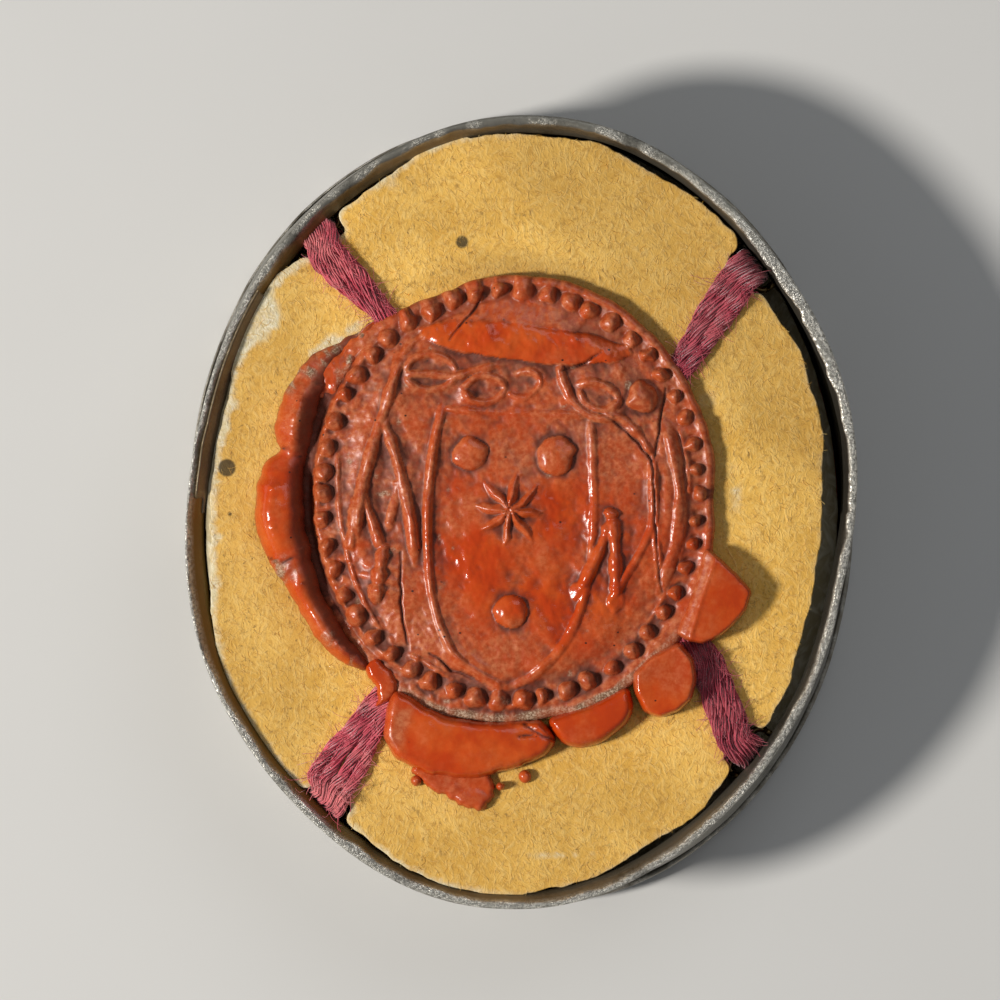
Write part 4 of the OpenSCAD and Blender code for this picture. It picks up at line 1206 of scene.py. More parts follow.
def buildLump(name, node, look, loop=None):
    # wax that has set on the face: rounded edges, with its own height at each point
    if loop is None:
        loop = flatLoops(node, levelsOf(node)[look.get("outline", 1)])[0]
    step, edge = look.get("edgeStep", 0.09), look["edge"]
    loop = smoothedLoop(resampled(anticlockwise(np.array(loop)), step), look.get("smoothing", 14))
    way = loopNormals(loop)
    ragged = look.get("ragged", 0.06)
    uneven = layeredNoise(*loop.T, look.get("raggedSize", 0.9), 23, 4)
    loop = loop + way * (look.get("grow", 0) + ragged * uneven)[:, None]
    way = loopNormals(smoothedLoop(loop, 3))
    inner = []
    for t in (14, 30, 46, 62, 78):
        inset = edge * (1 - math.cos(math.radians(t)))
        ring = loop - way * inset
        inner.append(ring[edgeDistance(ring, [loop]) > inset * 0.94])
    inner.append(scattered([loop], look.get("spacing", 0.1), edge * 0.96, 8))
    inner = np.vstack(inner)
    inner = inner[insideLoop(inner, loop)]
    tris = filled([loop], inner)
    points = np.vstack([loop, inner])
    x, y = points.T
    away = edgeDistance(points, [loop])
    away[:len(loop)] = 0
    k = np.clip(away / edge, 0, 1)
    swell = np.sqrt(np.clip(1 - (1 - k) ** 2, 0, 1))
    height = look["height"](x, y, away) if callable(look["height"]) else np.full(len(points), look["height"])
    for boss in look.get("bosses", ()):
        height = height + bossHeight(points, *boss)
    for line, width, rise in look.get("ridges", ()):
        height = height + ridgeHeight(points, line, width, abs(rise)) * np.sign(rise)
    bumps = look.get("bumps", 0.03)
    rough = look["rough"](x, y) if "rough" in look else np.zeros(len(points))
    height = height + bumps * layeredNoise(x, y, 1.1, 17, 4)
    height = height + rough * (0.12 * layeredNoise(x, y, 0.42, 27, 3) - 0.05)
    crack = np.zeros(len(points))
    for line in look.get("cracks", ()):
        crack = np.maximum(crack, np.exp(-(lineDistance(points, line)[0] / 0.06) ** 2))
    height = np.clip(height - 0.16 * crack, 0.1, None)
    z = 0.05 + (height - 0.05) * np.maximum(swell, 0.02)
    count = len(loop)
    under = loop - way * 0.04
    points = np.vstack([np.column_stack([points, faceTop + z]),
                        np.column_stack([under, np.full(count, faceTop - 0.05)])])
    a, b = np.arange(count), len(z) + np.arange(count)
    faces = tris.tolist() + np.stack([np.roll(a, -1), a, b, np.roll(b, -1)], -1).tolist()
    faces.append(b[::-1].tolist())
    # the ring under the edge gets a middling painted shade and film
    foot = np.full(count, 0.5)
    # painted shade where the wax lies low by the card and in its cracks, with real dark specks on rough wax
    shadeAndSpecks = 0.5 * ease((0.3 - z) / 0.3) + crack + 0.35 * rough * (softNoise(x, y, 0.4, 9) < -0.2)
    hollow = np.clip(np.concatenate([shadeAndSpecks, foot]), 0, 1)
    # painted shade on the spill's side towards the seal, which faces away from the light
    if "innerShade" in look:
        fromSeal = np.hypot(x - sealCentre[0], y - sealCentre[1]) - sealRadius(
            np.degrees(np.arctan2(y - sealCentre[1], x - sealCentre[0])))
        hollow[:len(x)] = np.maximum(hollow[:len(x)], look["innerShade"] * ease((0.75 - fromSeal) / 0.55))
    bloomAndHighlight = look.get("bloomAndHighlight", 0.35) + 0.4 * layeredNoise(x, y, 1.6, 37, 3) + 0.5 * rough
    # adds pink film, and on the pad and the flap a painted highlight
    if "pinkFilmAndHighlight" in look:
        bloomAndHighlight = bloomAndHighlight + look["pinkFilmAndHighlight"](x, y)
    bloomAndHighlight = np.clip(np.concatenate([bloomAndHighlight, foot]), 0, 1)
    grit = np.clip(np.concatenate([rough * ease(layeredNoise(x, y, 0.5, 47, 3) * 2), foot * 0]), 0, 1)
    piece = makeMesh(name, points, faces, {"hollow": hollow, "bloomAndHighlight": bloomAndHighlight, "grit": grit})
    if look.get("join"):
        return piece
    return finishPiece(piece, "sealing_wax", sealingWax, node)


def spillHeight(x, y, away):
    # the rope of wax down the left: tallest in its middle bulge, pinched above it
    along = [(-9.2, 0.55), (-7.6, 1.05), (-6.6, 1.2), (-5.0, 1.25), (-3.8, 1.3), (-2.6, 1.45), (-1.2, 1.75),
             (0.2, 1.85), (1.3, 1.7), (2.3, 1.05), (2.8, 0.9), (3.6, 1.3), (4.8, 1.4), (5.8, 1.15),
             (6.8, 0.8), (8.4, 0.6), (11, 0.4)]
    return np.interp(y, *np.array(along).T)


def spillRough(x, y):
    return np.clip(ease((y - 5.6) / 0.9) + blot(x, y, (-12.0, -3.0), (1.1, 0.9), 0, 0.6, 3) * 0.9
                   + 0.5 * ease((-5.0 - y) / 2) * (softNoise(x, y, 0.8, 12) > 0), 0, 1)


spillLook = {"edge": 1.05, "outline": 0, "grow": 0.16, "height": spillHeight, "smoothing": 9, "ragged": 0.1,
             "bumps": 0.07, "rough": spillRough, "ridges": [([(-10.9, 5.7), (-11.2, 4.4), (-11.3, 3.4)], 0.4,
                                                             0.22),
                                                            ([(-12.4, 1.4), (-12.65, 0.0), (-12.4, -1.5)],
                                                             0.35, 0.14),
                                                            ([(-11.4, -3.4), (-10.4, -5.1), (-9.3, -6.5)],
                                                             0.32, 0.22),
                                                            ([(-9.3, -6.5), (-8.2, -7.3), (-7.2, -8.2)], 0.3,
                                                             0.18)],
             "cracks": [[(-11.9, 3.2), (-11.2, 3.0), (-10.8, 2.6)],
                        [(-12.6, -2.3), (-11.8, -2.6), (-11.3, -2.2)]], "bloomAndHighlight": 0.02, "innerShade": 0.75,
             "pinkFilmAndHighlight": lambda x, y: 0.3 * ease((y - 2.6) / 0.8)}

# a thin granular crust that runs on from the spill's top to the threads
crustOutline = [(-11.1, 5.8), (-10.85, 6.6), (-10.2, 7.3), (-9.2, 7.9), (-8.6, 8.6), (-7.8, 9.2),
                (-7.0, 9.75), (-6.4, 9.5), (-6.8, 8.7), (-7.8, 7.8), (-8.6, 6.8), (-9.4, 5.6)]
crustLook = {"edge": 0.3, "height": 0.5, "smoothing": 10, "ragged": 0.13, "raggedSize": 0.5, "bumps": 0.1,
             "spacing": 0.08, "rough": lambda x, y: 0.5 + 0.5 * (softNoise(x, y, 0.7, 18) > 0), "bloomAndHighlight": 0.15}

# the pink blot at the pad's left end is a painted highlight
padLook = {"edge": 0.42, "grow": 0.14, "height": 1.22, "ragged": 0.08, "bumps": 0.04, "bloomAndHighlight": 0.0,
           "bosses": [((-2.6, -11.5), (3.6, 1.1), -4, 0.16, 0.1)],
           "cracks": [[(0.2, -10.6), (1.2, -11.2), (2.6, -11.7)], [(0.0, -11.2), (0.7, -11.1)]],
           "pinkFilmAndHighlight": lambda x, y: 0.8 * blot(x, y, (-5.9, -10.6), (0.6, 1.4), -20, 0.8, 4)}

cornerPadLook = {"edge": 0.42, "grow": 0.16, "height": 1.2, "ragged": 0.04, "bumps": 0.02, "bloomAndHighlight": 0.02,
                 "bosses": [((3.6, -10.6), (2.4, 1.0), 22, 0.1, 0.1)]}

dropOutline = [(8.0, -6.45), (8.7, -7.3), (8.9, -8.3), (8.6, -9.4), (7.95, -10.0), (7.0, -10.3), (6.2, -10.0),
               (5.65, -9.0), (5.65, -8.0), (6.5, -7.2), (7.35, -6.75)]
dropLook = {"edge": 0.26, "height": lambda x, y, away: 1.52 - 0.07 * ease(away / 1.3), "ragged": 0.03,
            "bumps": 0.02, "smoothing": 4, "bloomAndHighlight": 0.3, "ridges": [([(6.3, -7.0), (7.6, -6.7), (8.6, -7.3)],
                                                                     0.22, 0.06)]}


flapOutline = [(9.4, -1.75), (10.0, -2.3), (10.9, -3.2), (11.65, -4.0), (11.4, -4.8), (10.6, -5.75),
               (9.9, -6.3), (9.2, -6.6), (8.4, -6.5), (7.75, -6.1), (8.05, -5.3), (8.5, -4.2), (8.85, -3.0),
               (9.1, -2.0)]


def flapFold(y):
    return np.interp(y, [-6.6, -4.5, -2.4], [8.45, 9.05, 9.75])


def flapHeight(x, y, away):
    # a folded flap: a left slope up to a ridge and a flat top beyond it
    ridge = flapFold(y)
    left = 1.38 - 0.42 * np.clip((ridge - x) / 1.0, 0, 1)
    right = 1.38 - 0.16 * ease((x - ridge) / 2.6)
    return np.where(x < ridge, left, right)


# the pink on the flap's left slope is painted light on the side that faces the light
flapLook = {"edge": 0.2, "height": flapHeight, "ragged": 0.05, "bumps": 0.02, "smoothing": 6, "bloomAndHighlight": 0.12,
            "ridges": [([(8.4, -6.4), (9.0, -4.5), (9.65, -2.5)], 0.16, 0.08)],
            "pinkFilmAndHighlight": lambda x, y: 0.75 * ease((flapFold(y) + 0.05 - x) / 0.3)}

runLook = {"edge": 0.3, "height": 0.45, "smoothing": 8, "ragged": 0.16, "raggedSize": 0.5, "bumps": 0.05,
           "bloomAndHighlight": 0.4, "spacing": 0.08, "bosses": [((-2.4, -14.6), (0.9, 0.8), 0, 0.12, 0.2)]}


runOutline = [(-5.4, -12.9), (-5.0, -13.5), (-4.2, -13.9), (-3.4, -14.4), (-2.75, -14.85), (-1.95, -14.95),
              (-1.4, -14.7), (-1.2, -14.1), (-1.3, -13.1), (-3.4, -12.5), (-5.1, -12.4)]

# where the wax creeps out over the threads at the lower left
tongueOutline = [(-7.9, -7.6), (-7.6, -8.2), (-7.15, -8.7), (-7.1, -9.2), (-7.35, -9.8), (-6.95, -9.8),
                 (-6.5, -9.4), (-6.1, -9.0), (-6.0, -8.4), (-6.5, -7.8), (-7.2, -7.2)]
tongueLook = {"edge": 0.3, "height": 0.82, "smoothing": 6, "ragged": 0.08, "raggedSize": 0.5, "bumps": 0.06,
              "spacing": 0.08, "bloomAndHighlight": 0.2}


def buildDroplets():
    pieces = []
    for k, loop in enumerate(flatLoops("wax_droplets", levelsOf("wax_droplets")[0])):
        reach = min(np.ptp(loop, axis=0)) / 2
        look = {"edge": reach * 0.8, "height": 0.42 + 0.1 * (k % 3), "ragged": 0.05, "bumps": 0.02,
                "bloomAndHighlight": 0.4, "spacing": 0.07, "edgeStep": 0.07, "smoothing": 3, "join": True}
        pieces.append(buildLump("waxDroplet", "wax_droplets", look, loop))
    joined = joinPieces(pieces)
    joined.name = joined.data.name = "waxDroplets"
    return finishPiece(joined, "sealing_wax", sealingWax, "wax_droplets")


for name, node, look, outline in (("waxSpill", "wax_spill_left", spillLook, None),
                                  ("waxCrust", "wax_spill_left", crustLook, crustOutline),
                                  ("waxPad", "wax_pad_bottom", padLook, None),
                                  ("waxCornerPad", "wax_pad_lower_right", cornerPadLook, None),
                                  ("waxDrop", "wax_drop", dropLook, dropOutline),
                                  ("waxFlap", "wax_flap_right", flapLook, flapOutline),
                                  ("waxRun", "wax_run", runLook, runOutline),
                                  ("waxTongue", "wax_seal", tongueLook, tongueOutline)):
    buildLump(name, node, look, outline)
buildDroplets()
print("spilt wax done")


# silk threads round the eyelets

goldenTurn = 2.39996   # the angle that packs fibres evenly into a round cord
fullTurn = 6.28319


def cordTree(name, material):
    # a cord of round fibres, laid side by side and twisted along a path
    tree, start, end = newGeometryGroup(name, [("Fibres", "NodeSocketInt", 16),
                                               ("Cord Radius", "NodeSocketFloat", 0.0002),
                                               ("Fibre Radius", "NodeSocketFloat", 0.00005),
                                               ("Sides", "NodeSocketInt", 5),
                                               ("Twist Length", "NodeSocketFloat", 0.005),
                                               ("Looseness", "NodeSocketFloat", 0.0001)])
    w = Wiring(tree)
    s = start.outputs
    index = w.add("GeometryNodeInputIndex").outputs[0]
    share = w.math("DIVIDE", w.plus(index, 0.5), s["Fibres"])
    away = w.times(w.math("SQRT", share), w.minus(s["Cord Radius"], s["Fibre Radius"]))
    turn = w.times(index, goldenTurn)
    spot = w.add("ShaderNodeCombineXYZ", X=w.times(away, w.math("COSINE", turn)),
                 Y=w.times(away, w.math("SINE", turn)))
    ends = w.add("GeometryNodePoints", Count=s["Fibres"], Position=spot.outputs[0])
    ring = w.add("GeometryNodeCurvePrimitiveCircle", Resolution=s["Sides"], Radius=s["Fibre Radius"])
    bundle = w.add("GeometryNodeInstanceOnPoints", Points=ends.outputs[0], Instance=ring.outputs[0])
    profile = w.add("GeometryNodeRealizeInstances", Geometry=bundle.outputs[0])
    length = w.add("GeometryNodeSplineParameter").outputs["Length"]
    angle = w.times(w.math("DIVIDE", length, s["Twist Length"]), fullTurn)
    twisted = w.add("GeometryNodeSetCurveTilt", Curve=s["Geometry"], Tilt=angle)
    cord = w.add("GeometryNodeCurveToMesh", Curve=twisted.outputs[0], Fill_Caps=True)
    w.join(profile.outputs[0], cord.inputs["Profile Curve"])
    island = w.add("GeometryNodeInputMeshIsland").outputs[0]
    own = w.add("ShaderNodeCombineXYZ", X=w.times(island, 0.37),
                Y=w.times(island, 0.11))
    where = w.add("ShaderNodeVectorMath", {"operation": "ADD"})
    w.join(w.add("GeometryNodeInputPosition").outputs[0], where.inputs[0])
    w.join(own.outputs[0], where.inputs[1])
    stray = w.add("ShaderNodeTexNoise", Vector=where.outputs[0], Scale=900.0, Detail=1.0)
    centred = w.add("ShaderNodeVectorMath", {"operation": "SUBTRACT"})
    w.join(stray.outputs["Color"], centred.inputs[0])
    centred.inputs[1].default_value = (0.5, 0.5, 0.5)
    spread = w.add("ShaderNodeVectorMath", {"operation": "SCALE"})
    w.join(centred.outputs[0], spread.inputs[0])
    w.join(s["Looseness"], spread.inputs["Scale"])
    loose = w.add("GeometryNodeSetPosition", Geometry=cord.outputs[0], Offset=spread.outputs[0])
    tone = w.add("FunctionNodeRandomValue", {"data_type": "FLOAT"}, ID=island)
    kept = w.add("GeometryNodeStoreNamedAttribute", {"data_type": "FLOAT", "domain": "POINT"},
                 Geometry=loose.outputs[0], Name="tone")
    w.join(tone.outputs[1], kept.inputs["Value"])
    finishGeometry(w, kept.outputs[0], material, end)
    return tree


def pathCurve(points, cyclic=False):
    curve = bpy.data.curves.new("path", "CURVE")
    curve.dimensions = "3D"
    curve.twist_mode = "MINIMUM"
    spline = curve.splines.new("POLY")
    spline.points.add(len(points) - 1)
    spline.points.foreach_set("co", np.column_stack([np.asarray(points) * mm, np.ones(len(points))]).ravel())
    spline.use_cyclic_u = cyclic
    return placeObject("path", curve)


def makeCord(name, points, tree, slot, material, cadNodes, cyclic=False, **values):
    path = pathCurve(points, cyclic)
    cord = withNodes(path, tree, name, **values)
    bpy.data.objects.remove(path)
    return finishPiece(cord, slot, material, *cadNodes)


def silkMaterial():
    # crimson silk, its fibres each a little lighter or darker, dusty on top; painted darker on the arms to
    # the right as shade, and pinker on the arms to the left as painted light
    material, w, shader, place = newMaterial("crimsonSilk", Roughness=0.6, Specular_IOR_Level=0.25,
                                             Sheen_Weight=0.5, Sheen_Roughness=0.5)
    tone = w.attribute("tone")
    along = w.noise(place, 1500.0, 3.0, 0.6)
    base = w.blend(tone, colour(142, 28, 48), colour(208, 66, 88))
    base = w.blend(w.remap(along, 0.35, 0.72), base, colour(222, 98, 112))
    dustAndHighlight = w.remap(w.noise(place, 480.0, 3.0), 0.42, 0.7)
    # painted shade on the right arms, painted light with pink dust on the left ones
    leftward = w.remap(w.add("ShaderNodeSeparateXYZ", Vector=place).outputs["X"], 0.004, -0.006, 0.25, 1.0)
    shaded = w.times(w.minus(1.0, leftward), 0.6)
    base = w.blend(shaded, base, colour(128, 18, 46))
    dustAndHighlight = w.times(dustAndHighlight, leftward)
    base = w.blend(w.times(dustAndHighlight, 0.6), base, colour(236, 146, 142))
    paint(w, shader, Base_Color=base, Roughness=w.remap(along, 0.3, 0.7, 0.42, 0.62),
          Normal=w.bump(w.noise(place, 12000.0, 3.0, 0.6), 0.3, 0.00001))
    return material


crimsonSilk = silkMaterial()
silkTree = cordTree("silkThread", crimsonSilk)


def eyeletFrame(node):
    # middle of an eyelet's bar, the way out from it to the wall, and the way along it
    co = nodePoints(node)
    middle = co.mean(0)[:2]
    flat = co[:, :2] - middle
    along = np.linalg.eigh(flat.T @ flat)[1][:, 1]
    out = np.array([along[1], -along[0]])
    if out @ middle < 0:
        out = -out
    reach = co[:, :2] @ out
    wire = np.ptp(co[:, 2])
    span = co[:, :2] @ along
    onBar = (span.min() + span.max()) / 2 * along + (reach.min() + wire / 2) * out
    barZ = (co[:, 2].min() + co[:, 2].max()) / 2
    return onBar, out, along, wire, barZ, reach.max() - reach.min() - wire / 2


corners = {name: eyeletFrame("eyelet_" + name) for name in ("nw", "ne", "sw", "se")}
crossing = np.array([2.0, 0.6])
threadLook = {
    "strandStep": 0.5,       # from strand to strand at the rim
    "hook": 0.41,            # from the middle of an eyelet's bar to the middle of a strand round it
    "pointStep": 0.22,
    # where each arm goes under the wax, and how wide it is there beside its width at the rim
    "entries": {"nw": ((-6.65, 9.75), 0.35), "ne": ((8.0, 7.2), 0.5),
                "sw": ((-7.15, -9.9), 0.72), "se": ((9.35, -7.5), 0.72)},
    # how far each arm is pulled aside at the rim, and how far it spreads there
    "pulls": {"nw": (-0.25, -0.4), "ne": (-0.1, -0.25), "sw": (-0.4, 0.3), "se": (0, 0)},
    "spreads": {"nw": 0.85, "ne": 0.9, "sw": 1.3, "se": 0.8},
    "fibres": {"Fibres": 34, "Cord_Radius": 0.00034, "Fibre_Radius": 0.000044, "Sides": 4,
               "Twist_Length": 0.0048, "Looseness": 0.00021},
}


def sideOf(way, along):
    # square to a way, on the side that an eyelet's bar runs to
    side = np.array([-way[1], way[0]]) / np.hypot(*way)
    return -side if side @ along < 0 else side


def armPoints(corner, number, look, over):
    # from behind the eyelet, round its bar, up through the notch and along the face to the crossing
    bar, out, along, _, barZ, _ = corners[corner]
    entry, narrow = look["entries"][corner]
    entry = np.array(entry)
    offset = (number - 2.5) * look["strandStep"]
    atBar = offset * min(1, look["spreads"][corner])
    hook = look["hook"]
    lie = faceTop + 0.2
    rng = np.random.default_rng(100 + number + 10 * sum(map(ord, corner)))
    stack = 0.16 * ((number % 2) - 0.3)
    points = []
    for k, z in ((-1, 0.5), (-1, 0), (-0.7, -0.7), (0, -1), (0.7, -0.7), (1, 0)):
        points.append([*(bar + out * hook * k + along * atBar), barZ + z * hook])
    for reach, z, share in ((0.1, barZ + 1.1, 1), (0.02, lie - 0.75, 1), (-0.3, lie - 0.24, 0.98)):
        points.append([*(bar + out * (hook + reach) + along * atBar * share), z])
    edge = bar + out * (hook - 0.9) + look["pulls"][corner]
    inward = entry - edge
    side = sideOf(inward, along)
    for k in np.linspace(0, 1, 8):
        narrowing = mix(look["spreads"][corner], narrow, ease(k * 1.05))
        bulge = 0.05 * math.sin(k * math.pi) * np.sign(offset)
        wander = rng.uniform(-0.035, 0.035)
        p = edge + inward * k + side * (offset * narrowing + bulge + wander)
        z = lie + stack * ease(k * 1.3) * (1.2 - narrow) - 0.05 * k + 0.04 * math.sin(k * 7 + number)
        z += float(cardWave(np.array(p[0]), np.array(p[1])))
        points.append([*p, z])
    goal = crossing - entry
    side = sideOf(goal, along)
    for k in (0.12, 0.3, 0.5, 0.7, 0.85):
        z = faceTop + 0.16 + (0.36 * ease((k - 0.45) / 0.4) if over else 0)
        points.append([*(entry + goal * k + side * offset * narrow * (1 - 0.1 * k)), z])
    return points


def buildThreads(look):
    # four strands each way; the first pair of arms passes over the second
    for over, first, last in ((True, "nw", "se"), (False, "sw", "ne")):
        for number in (1, 2, 3, 4):
            start = armPoints(first, number, look, over)
            other = number if corners[first][2] @ corners[last][2] > 0 else 5 - number
            end = armPoints(last, other, look, over)
            line = curvedLine(start + end[::-1], 7)
            steps = np.concatenate([[0], np.cumsum(np.linalg.norm(np.diff(line, axis=0), axis=1))])
            at = np.arange(0, steps[-1], look["pointStep"])
            line = np.column_stack([np.interp(at, steps, line[:, k]) for k in range(3)])
            name = ("silkOver%d" if over else "silkUnder%d") % number
            node = ("strand_over_%d" if over else "strand_under_%d") % number
            makeCord(name, line, silkTree, "silk_thread", crimsonSilk, [node], **look["fibres"])
            print(name, "is %.1f mm long" % steps[-1])


buildThreads(threadLook)
print("silk threads done")

fuzzLook = {"hairs": 240, "length": (0.4, 1.9), "radius": 0.012, "steps": 7, "seed": 31,
            "fromRim": 0.6,   # how far the hairs stay from the rim
            "top": 9.5}       # and the height they stay under


def tube(line, radius, sides):
    # points and faces of a capped tube along a line
    line = np.asarray(line, float)
    radius = np.broadcast_to(radius, len(line))
    way = np.gradient(line, axis=0)
    way /= np.linalg.norm(way, axis=1, keepdims=True)
    side = np.cross(way, (0.13, 0.21, 0.97))
    side /= np.maximum(np.linalg.norm(side, axis=1, keepdims=True), 1e-9)
    up = np.cross(side, way)
    turn = np.arange(sides) * 2 * math.pi / sides
    points = line[:, None] + radius[:, None, None] * (np.cos(turn)[None, :, None] * side[:, None]
                                                      + np.sin(turn)[None, :, None] * up[:, None])
    faces = [(i * sides + j, (i + 1) * sides + j, (i + 1) * sides + (j + 1) % sides,
              i * sides + (j + 1) % sides) for i in range(len(line) - 1) for j in range(sides)]
    faces.append(list(range(sides)))
    faces.append([(len(line) - 1) * sides + j for j in reversed(range(sides))])
    return points.reshape(-1, 3), faces


def buildFuzz(look):
    rng = np.random.default_rng(look["seed"])
    points, faces, tones, start = [], [], [], 0
    for corner in corners:
        bar, out = corners[corner][:2]
        entry, wide = threadLook["entries"][corner]
        atRim = bar + out * (threadLook["hook"] - 0.9) + threadLook["pulls"][corner]
        way = (entry - atRim) / np.hypot(*(entry - atRim))
        for _ in range(look["hairs"]):
            if rng.uniform() < 0.6:
                k = rng.uniform(-0.05, 1.0)
            else:
                k = rng.choice([rng.normal(0.0, 0.07), rng.normal(0.97, 0.05)])
            span = mix(threadLook["spreads"][corner], wide, np.clip(k, 0, 1)) * 0.95
            side = np.array([-way[1], way[0]]) * rng.choice([-1, 1])
            root = atRim + (entry - atRim) * k + side * rng.uniform(0.2, 1.0) * span
            length = rng.uniform(*look["length"]) * rng.uniform(0.4, 1.0)
            heading = math.atan2(*(way * rng.choice([-1, 1]) + side * rng.uniform(0.2, 1.1))[::-1])
            bend = rng.uniform(-1.3, 1.3)
            line, p, z = [], root, faceTop + rng.uniform(0.15, 0.5)
            climb = rng.uniform(-0.1, 0.35)
            for _ in range(look["steps"]):
                room = float(rimRadius(math.degrees(math.atan2(p[1], p[0])))) - look["fromRim"]
                p = p * min(1, room / np.hypot(*p))
                line.append([*p, z])
                heading += bend / look["steps"]
                p = p + np.array([math.cos(heading), math.sin(heading)]) * length / look["steps"]
                z = min(max(z + climb * length / look["steps"], faceTop - 0.25), look["top"])
            own, ownFaces = tube(line, look["radius"] * rng.uniform(0.7, 1.3), 3)
            points.append(own)
            faces += [tuple(start + v for v in f) for f in ownFaces]
            tones.append(np.full(len(own), rng.uniform()))
            start += len(own)
    fuzz = makeMesh("silkFuzz", np.vstack(points), faces, {"tone": np.concatenate(tones)})
    return finishPiece(fuzz, "silk_thread", crimsonSilk, "strand_over_1", "strand_under_1")


buildFuzz(fuzzLook)
print("stray silk hairs done")


def wireMaterial():
    material, w, shader, place = newMaterial("eyeletWire", Metallic=1.0)
    patches = placeGroup(w, grimePatches, Vector=place, Patch_Scale=900.0, Speck_Scale=6000.0, Cover=0.6)
    base = w.blend(patches[0], colour(176, 148, 96), colour(74, 60, 40))
    paint(w, shader, Base_Color=base, Roughness=w.remap(patches[0], 0.0, 1.0, 0.3, 0.6),
          Normal=w.bump(w.noise(place, 5000.0, 4.0), 0.4, 0.00002))
    return material


eyeletWire = wireMaterial()


def buildEyelet(name, look):
    bar, out, along, wire, barZ, leg = corners[name]
    half = np.ptp(nodePoints("eyelet_" + name)[:, :2] @ along) / 2 - wire / 2
    bend = look["bend"]
    line = [bar + along * half + out * leg * k for k in (1, 0.7, 0.4)]
    line += [bar + along * (half - bend * (1 - math.cos(t))) + out * bend * (1 - math.sin(t))
             for t in np.radians(np.linspace(0, 90, 7))]
    mirrored = [p - 2 * ((p - bar) @ along) * along for p in reversed(line)]
    line = np.column_stack([np.array(line + mirrored), np.full(2 * len(line), barZ)])
    points, faces = tube(line, wire / 2 * 0.97, look["sides"])
    eyelet = makeMesh("eyelet" + name.upper(), points, faces)
    return finishPiece(eyelet, "eyelet_wire", eyeletWire, "eyelet_" + name)


eyeletLook = {"bend": 0.4, "sides": 16}
for name in corners:
    buildEyelet(name, eyeletLook)
print("eyelets done")


# the front: bezel, glass and the display behind it

def buildBezel(look):
    # the front rim: a band round the foot of the wall and a lip over the glass
    co = nodePoints("front_bezel")
    low, high = co[:, 2].min(), co[:, 2].max()
    outer = radiusAround(co, np.zeros(2), 4)
    lip = co[co[:, 2] < low + 0.02]
    inner = radiusAround(-lip / np.maximum(np.hypot(*lip[:, :2].T), 1e-6)[:, None] ** 2, np.zeros(2), 4)
    angle = np.arange(look["steps"]) * 360 / look["steps"]
    outside = outer(angle) - look["slim"] * ease((-np.cos(np.radians(angle)) + 0.2) / 0.6)
    opening = 1 / inner(angle + 180)
    band = outside - footRadius(angle) - 0.02
    thick = look["lip"]
    section = [(1.0, low + thick, 0), (0.94, low + thick * 0.98, 0), (0.0, low + thick, 1),
               (0.0, high - 0.25, 1), (0.1, high - 0.06, 2), (0.5, high, 2), (0.9, high - 0.07, 2),
               (1.0, high - 0.22, 2)]
    section += [(1.0, low + z, 2) for z in (1.0, 0.85, 0.72, 0.6, 0.45, 0.3)]
    section += [(0.93, low + 0.12, 2), (0.7, low + 0.02, 2), (0.0, low, 3), (0.3, low, 3),
                (0.62, low + 0.02, 3), (0.9, low + 0.09, 3), (1.0, low + 0.24, 3)]
    groove = {low + 0.85: 0.07, low + 0.72: 0.1, low + 0.6: 0.07}
    rows, wornAndSideLight = [], []
    for k, z, kind in section:
        if kind == 0:
            radius = opening + (1 - k) * 0.8
        elif kind == 1:
            radius = outside - band
        elif kind == 2:
            radius = outside - band * (1 - k) - groove.get(z, 0)
        else:
            radius = mix(outside - band - 0.1, opening, k)
        radius = radius + look["dents"] * layeredNoise(angle / 9, angle * 0 + z, 1.4, 14, 3) * (kind >= 2)
        rows.append(polarRing(angle, radius, z))
        patchy = 0.5 + layeredNoise(angle / 2, angle * 0 + z, 0.9, 6, 3)
        wornAndSideLight.append(np.clip((0.5 if kind >= 2 else 0.1) * patchy, 0, 1))
    n, m = look["steps"], len(section)
    faces = [(i * n + (j + 1) % n, i * n + j, (i + 1) % m * n + j, (i + 1) % m * n + (j + 1) % n)
             for i in range(m) for j in range(n)]
    bezel = makeMesh("frontBezel", np.vstack(rows), faces,
                     {"wornAndSideLight": np.concatenate(wornAndSideLight), "rustAndCardReflection": np.full(n * m, look["rustAndCardReflection"])})
    return finishPiece(bezel, "case_metal", caseMetal, "front_bezel")


def glassMaterial():
    # old crown glass, faintly green, with a film of dust
    material, w, shader, place = newMaterial("oldGlass", Transmission_Weight=0.96, IOR=1.5)
    film = w.noise(place, 240.0, 4.0, 0.6)
    base = w.blend(w.remap(film, 0.4, 0.7), colour(238, 244, 238), colour(216, 226, 214))
    paint(w, shader, Base_Color=base, Roughness=w.remap(film, 0.4, 0.75, 0.02, 0.1),
          Normal=w.bump(w.noise(place, 120.0, 2.0), 0.25, 0.0001))
    return material


def giltMaterial():
    material, w, shader, place = newMaterial("giltWire", Metallic=1.0)
    patches = placeGroup(w, grimePatches, Vector=place, Patch_Scale=500.0, Speck_Scale=5000.0, Cover=0.35)
    paint(w, shader, Base_Color=w.blend(patches[0], colour(226, 178, 84), colour(140, 96, 40)),
          Roughness=w.remap(patches[0], 0.0, 1.0, 0.26, 0.5),
          Normal=w.bump(w.noise(place, 7000.0, 3.0), 0.3, 0.00002))
    return material


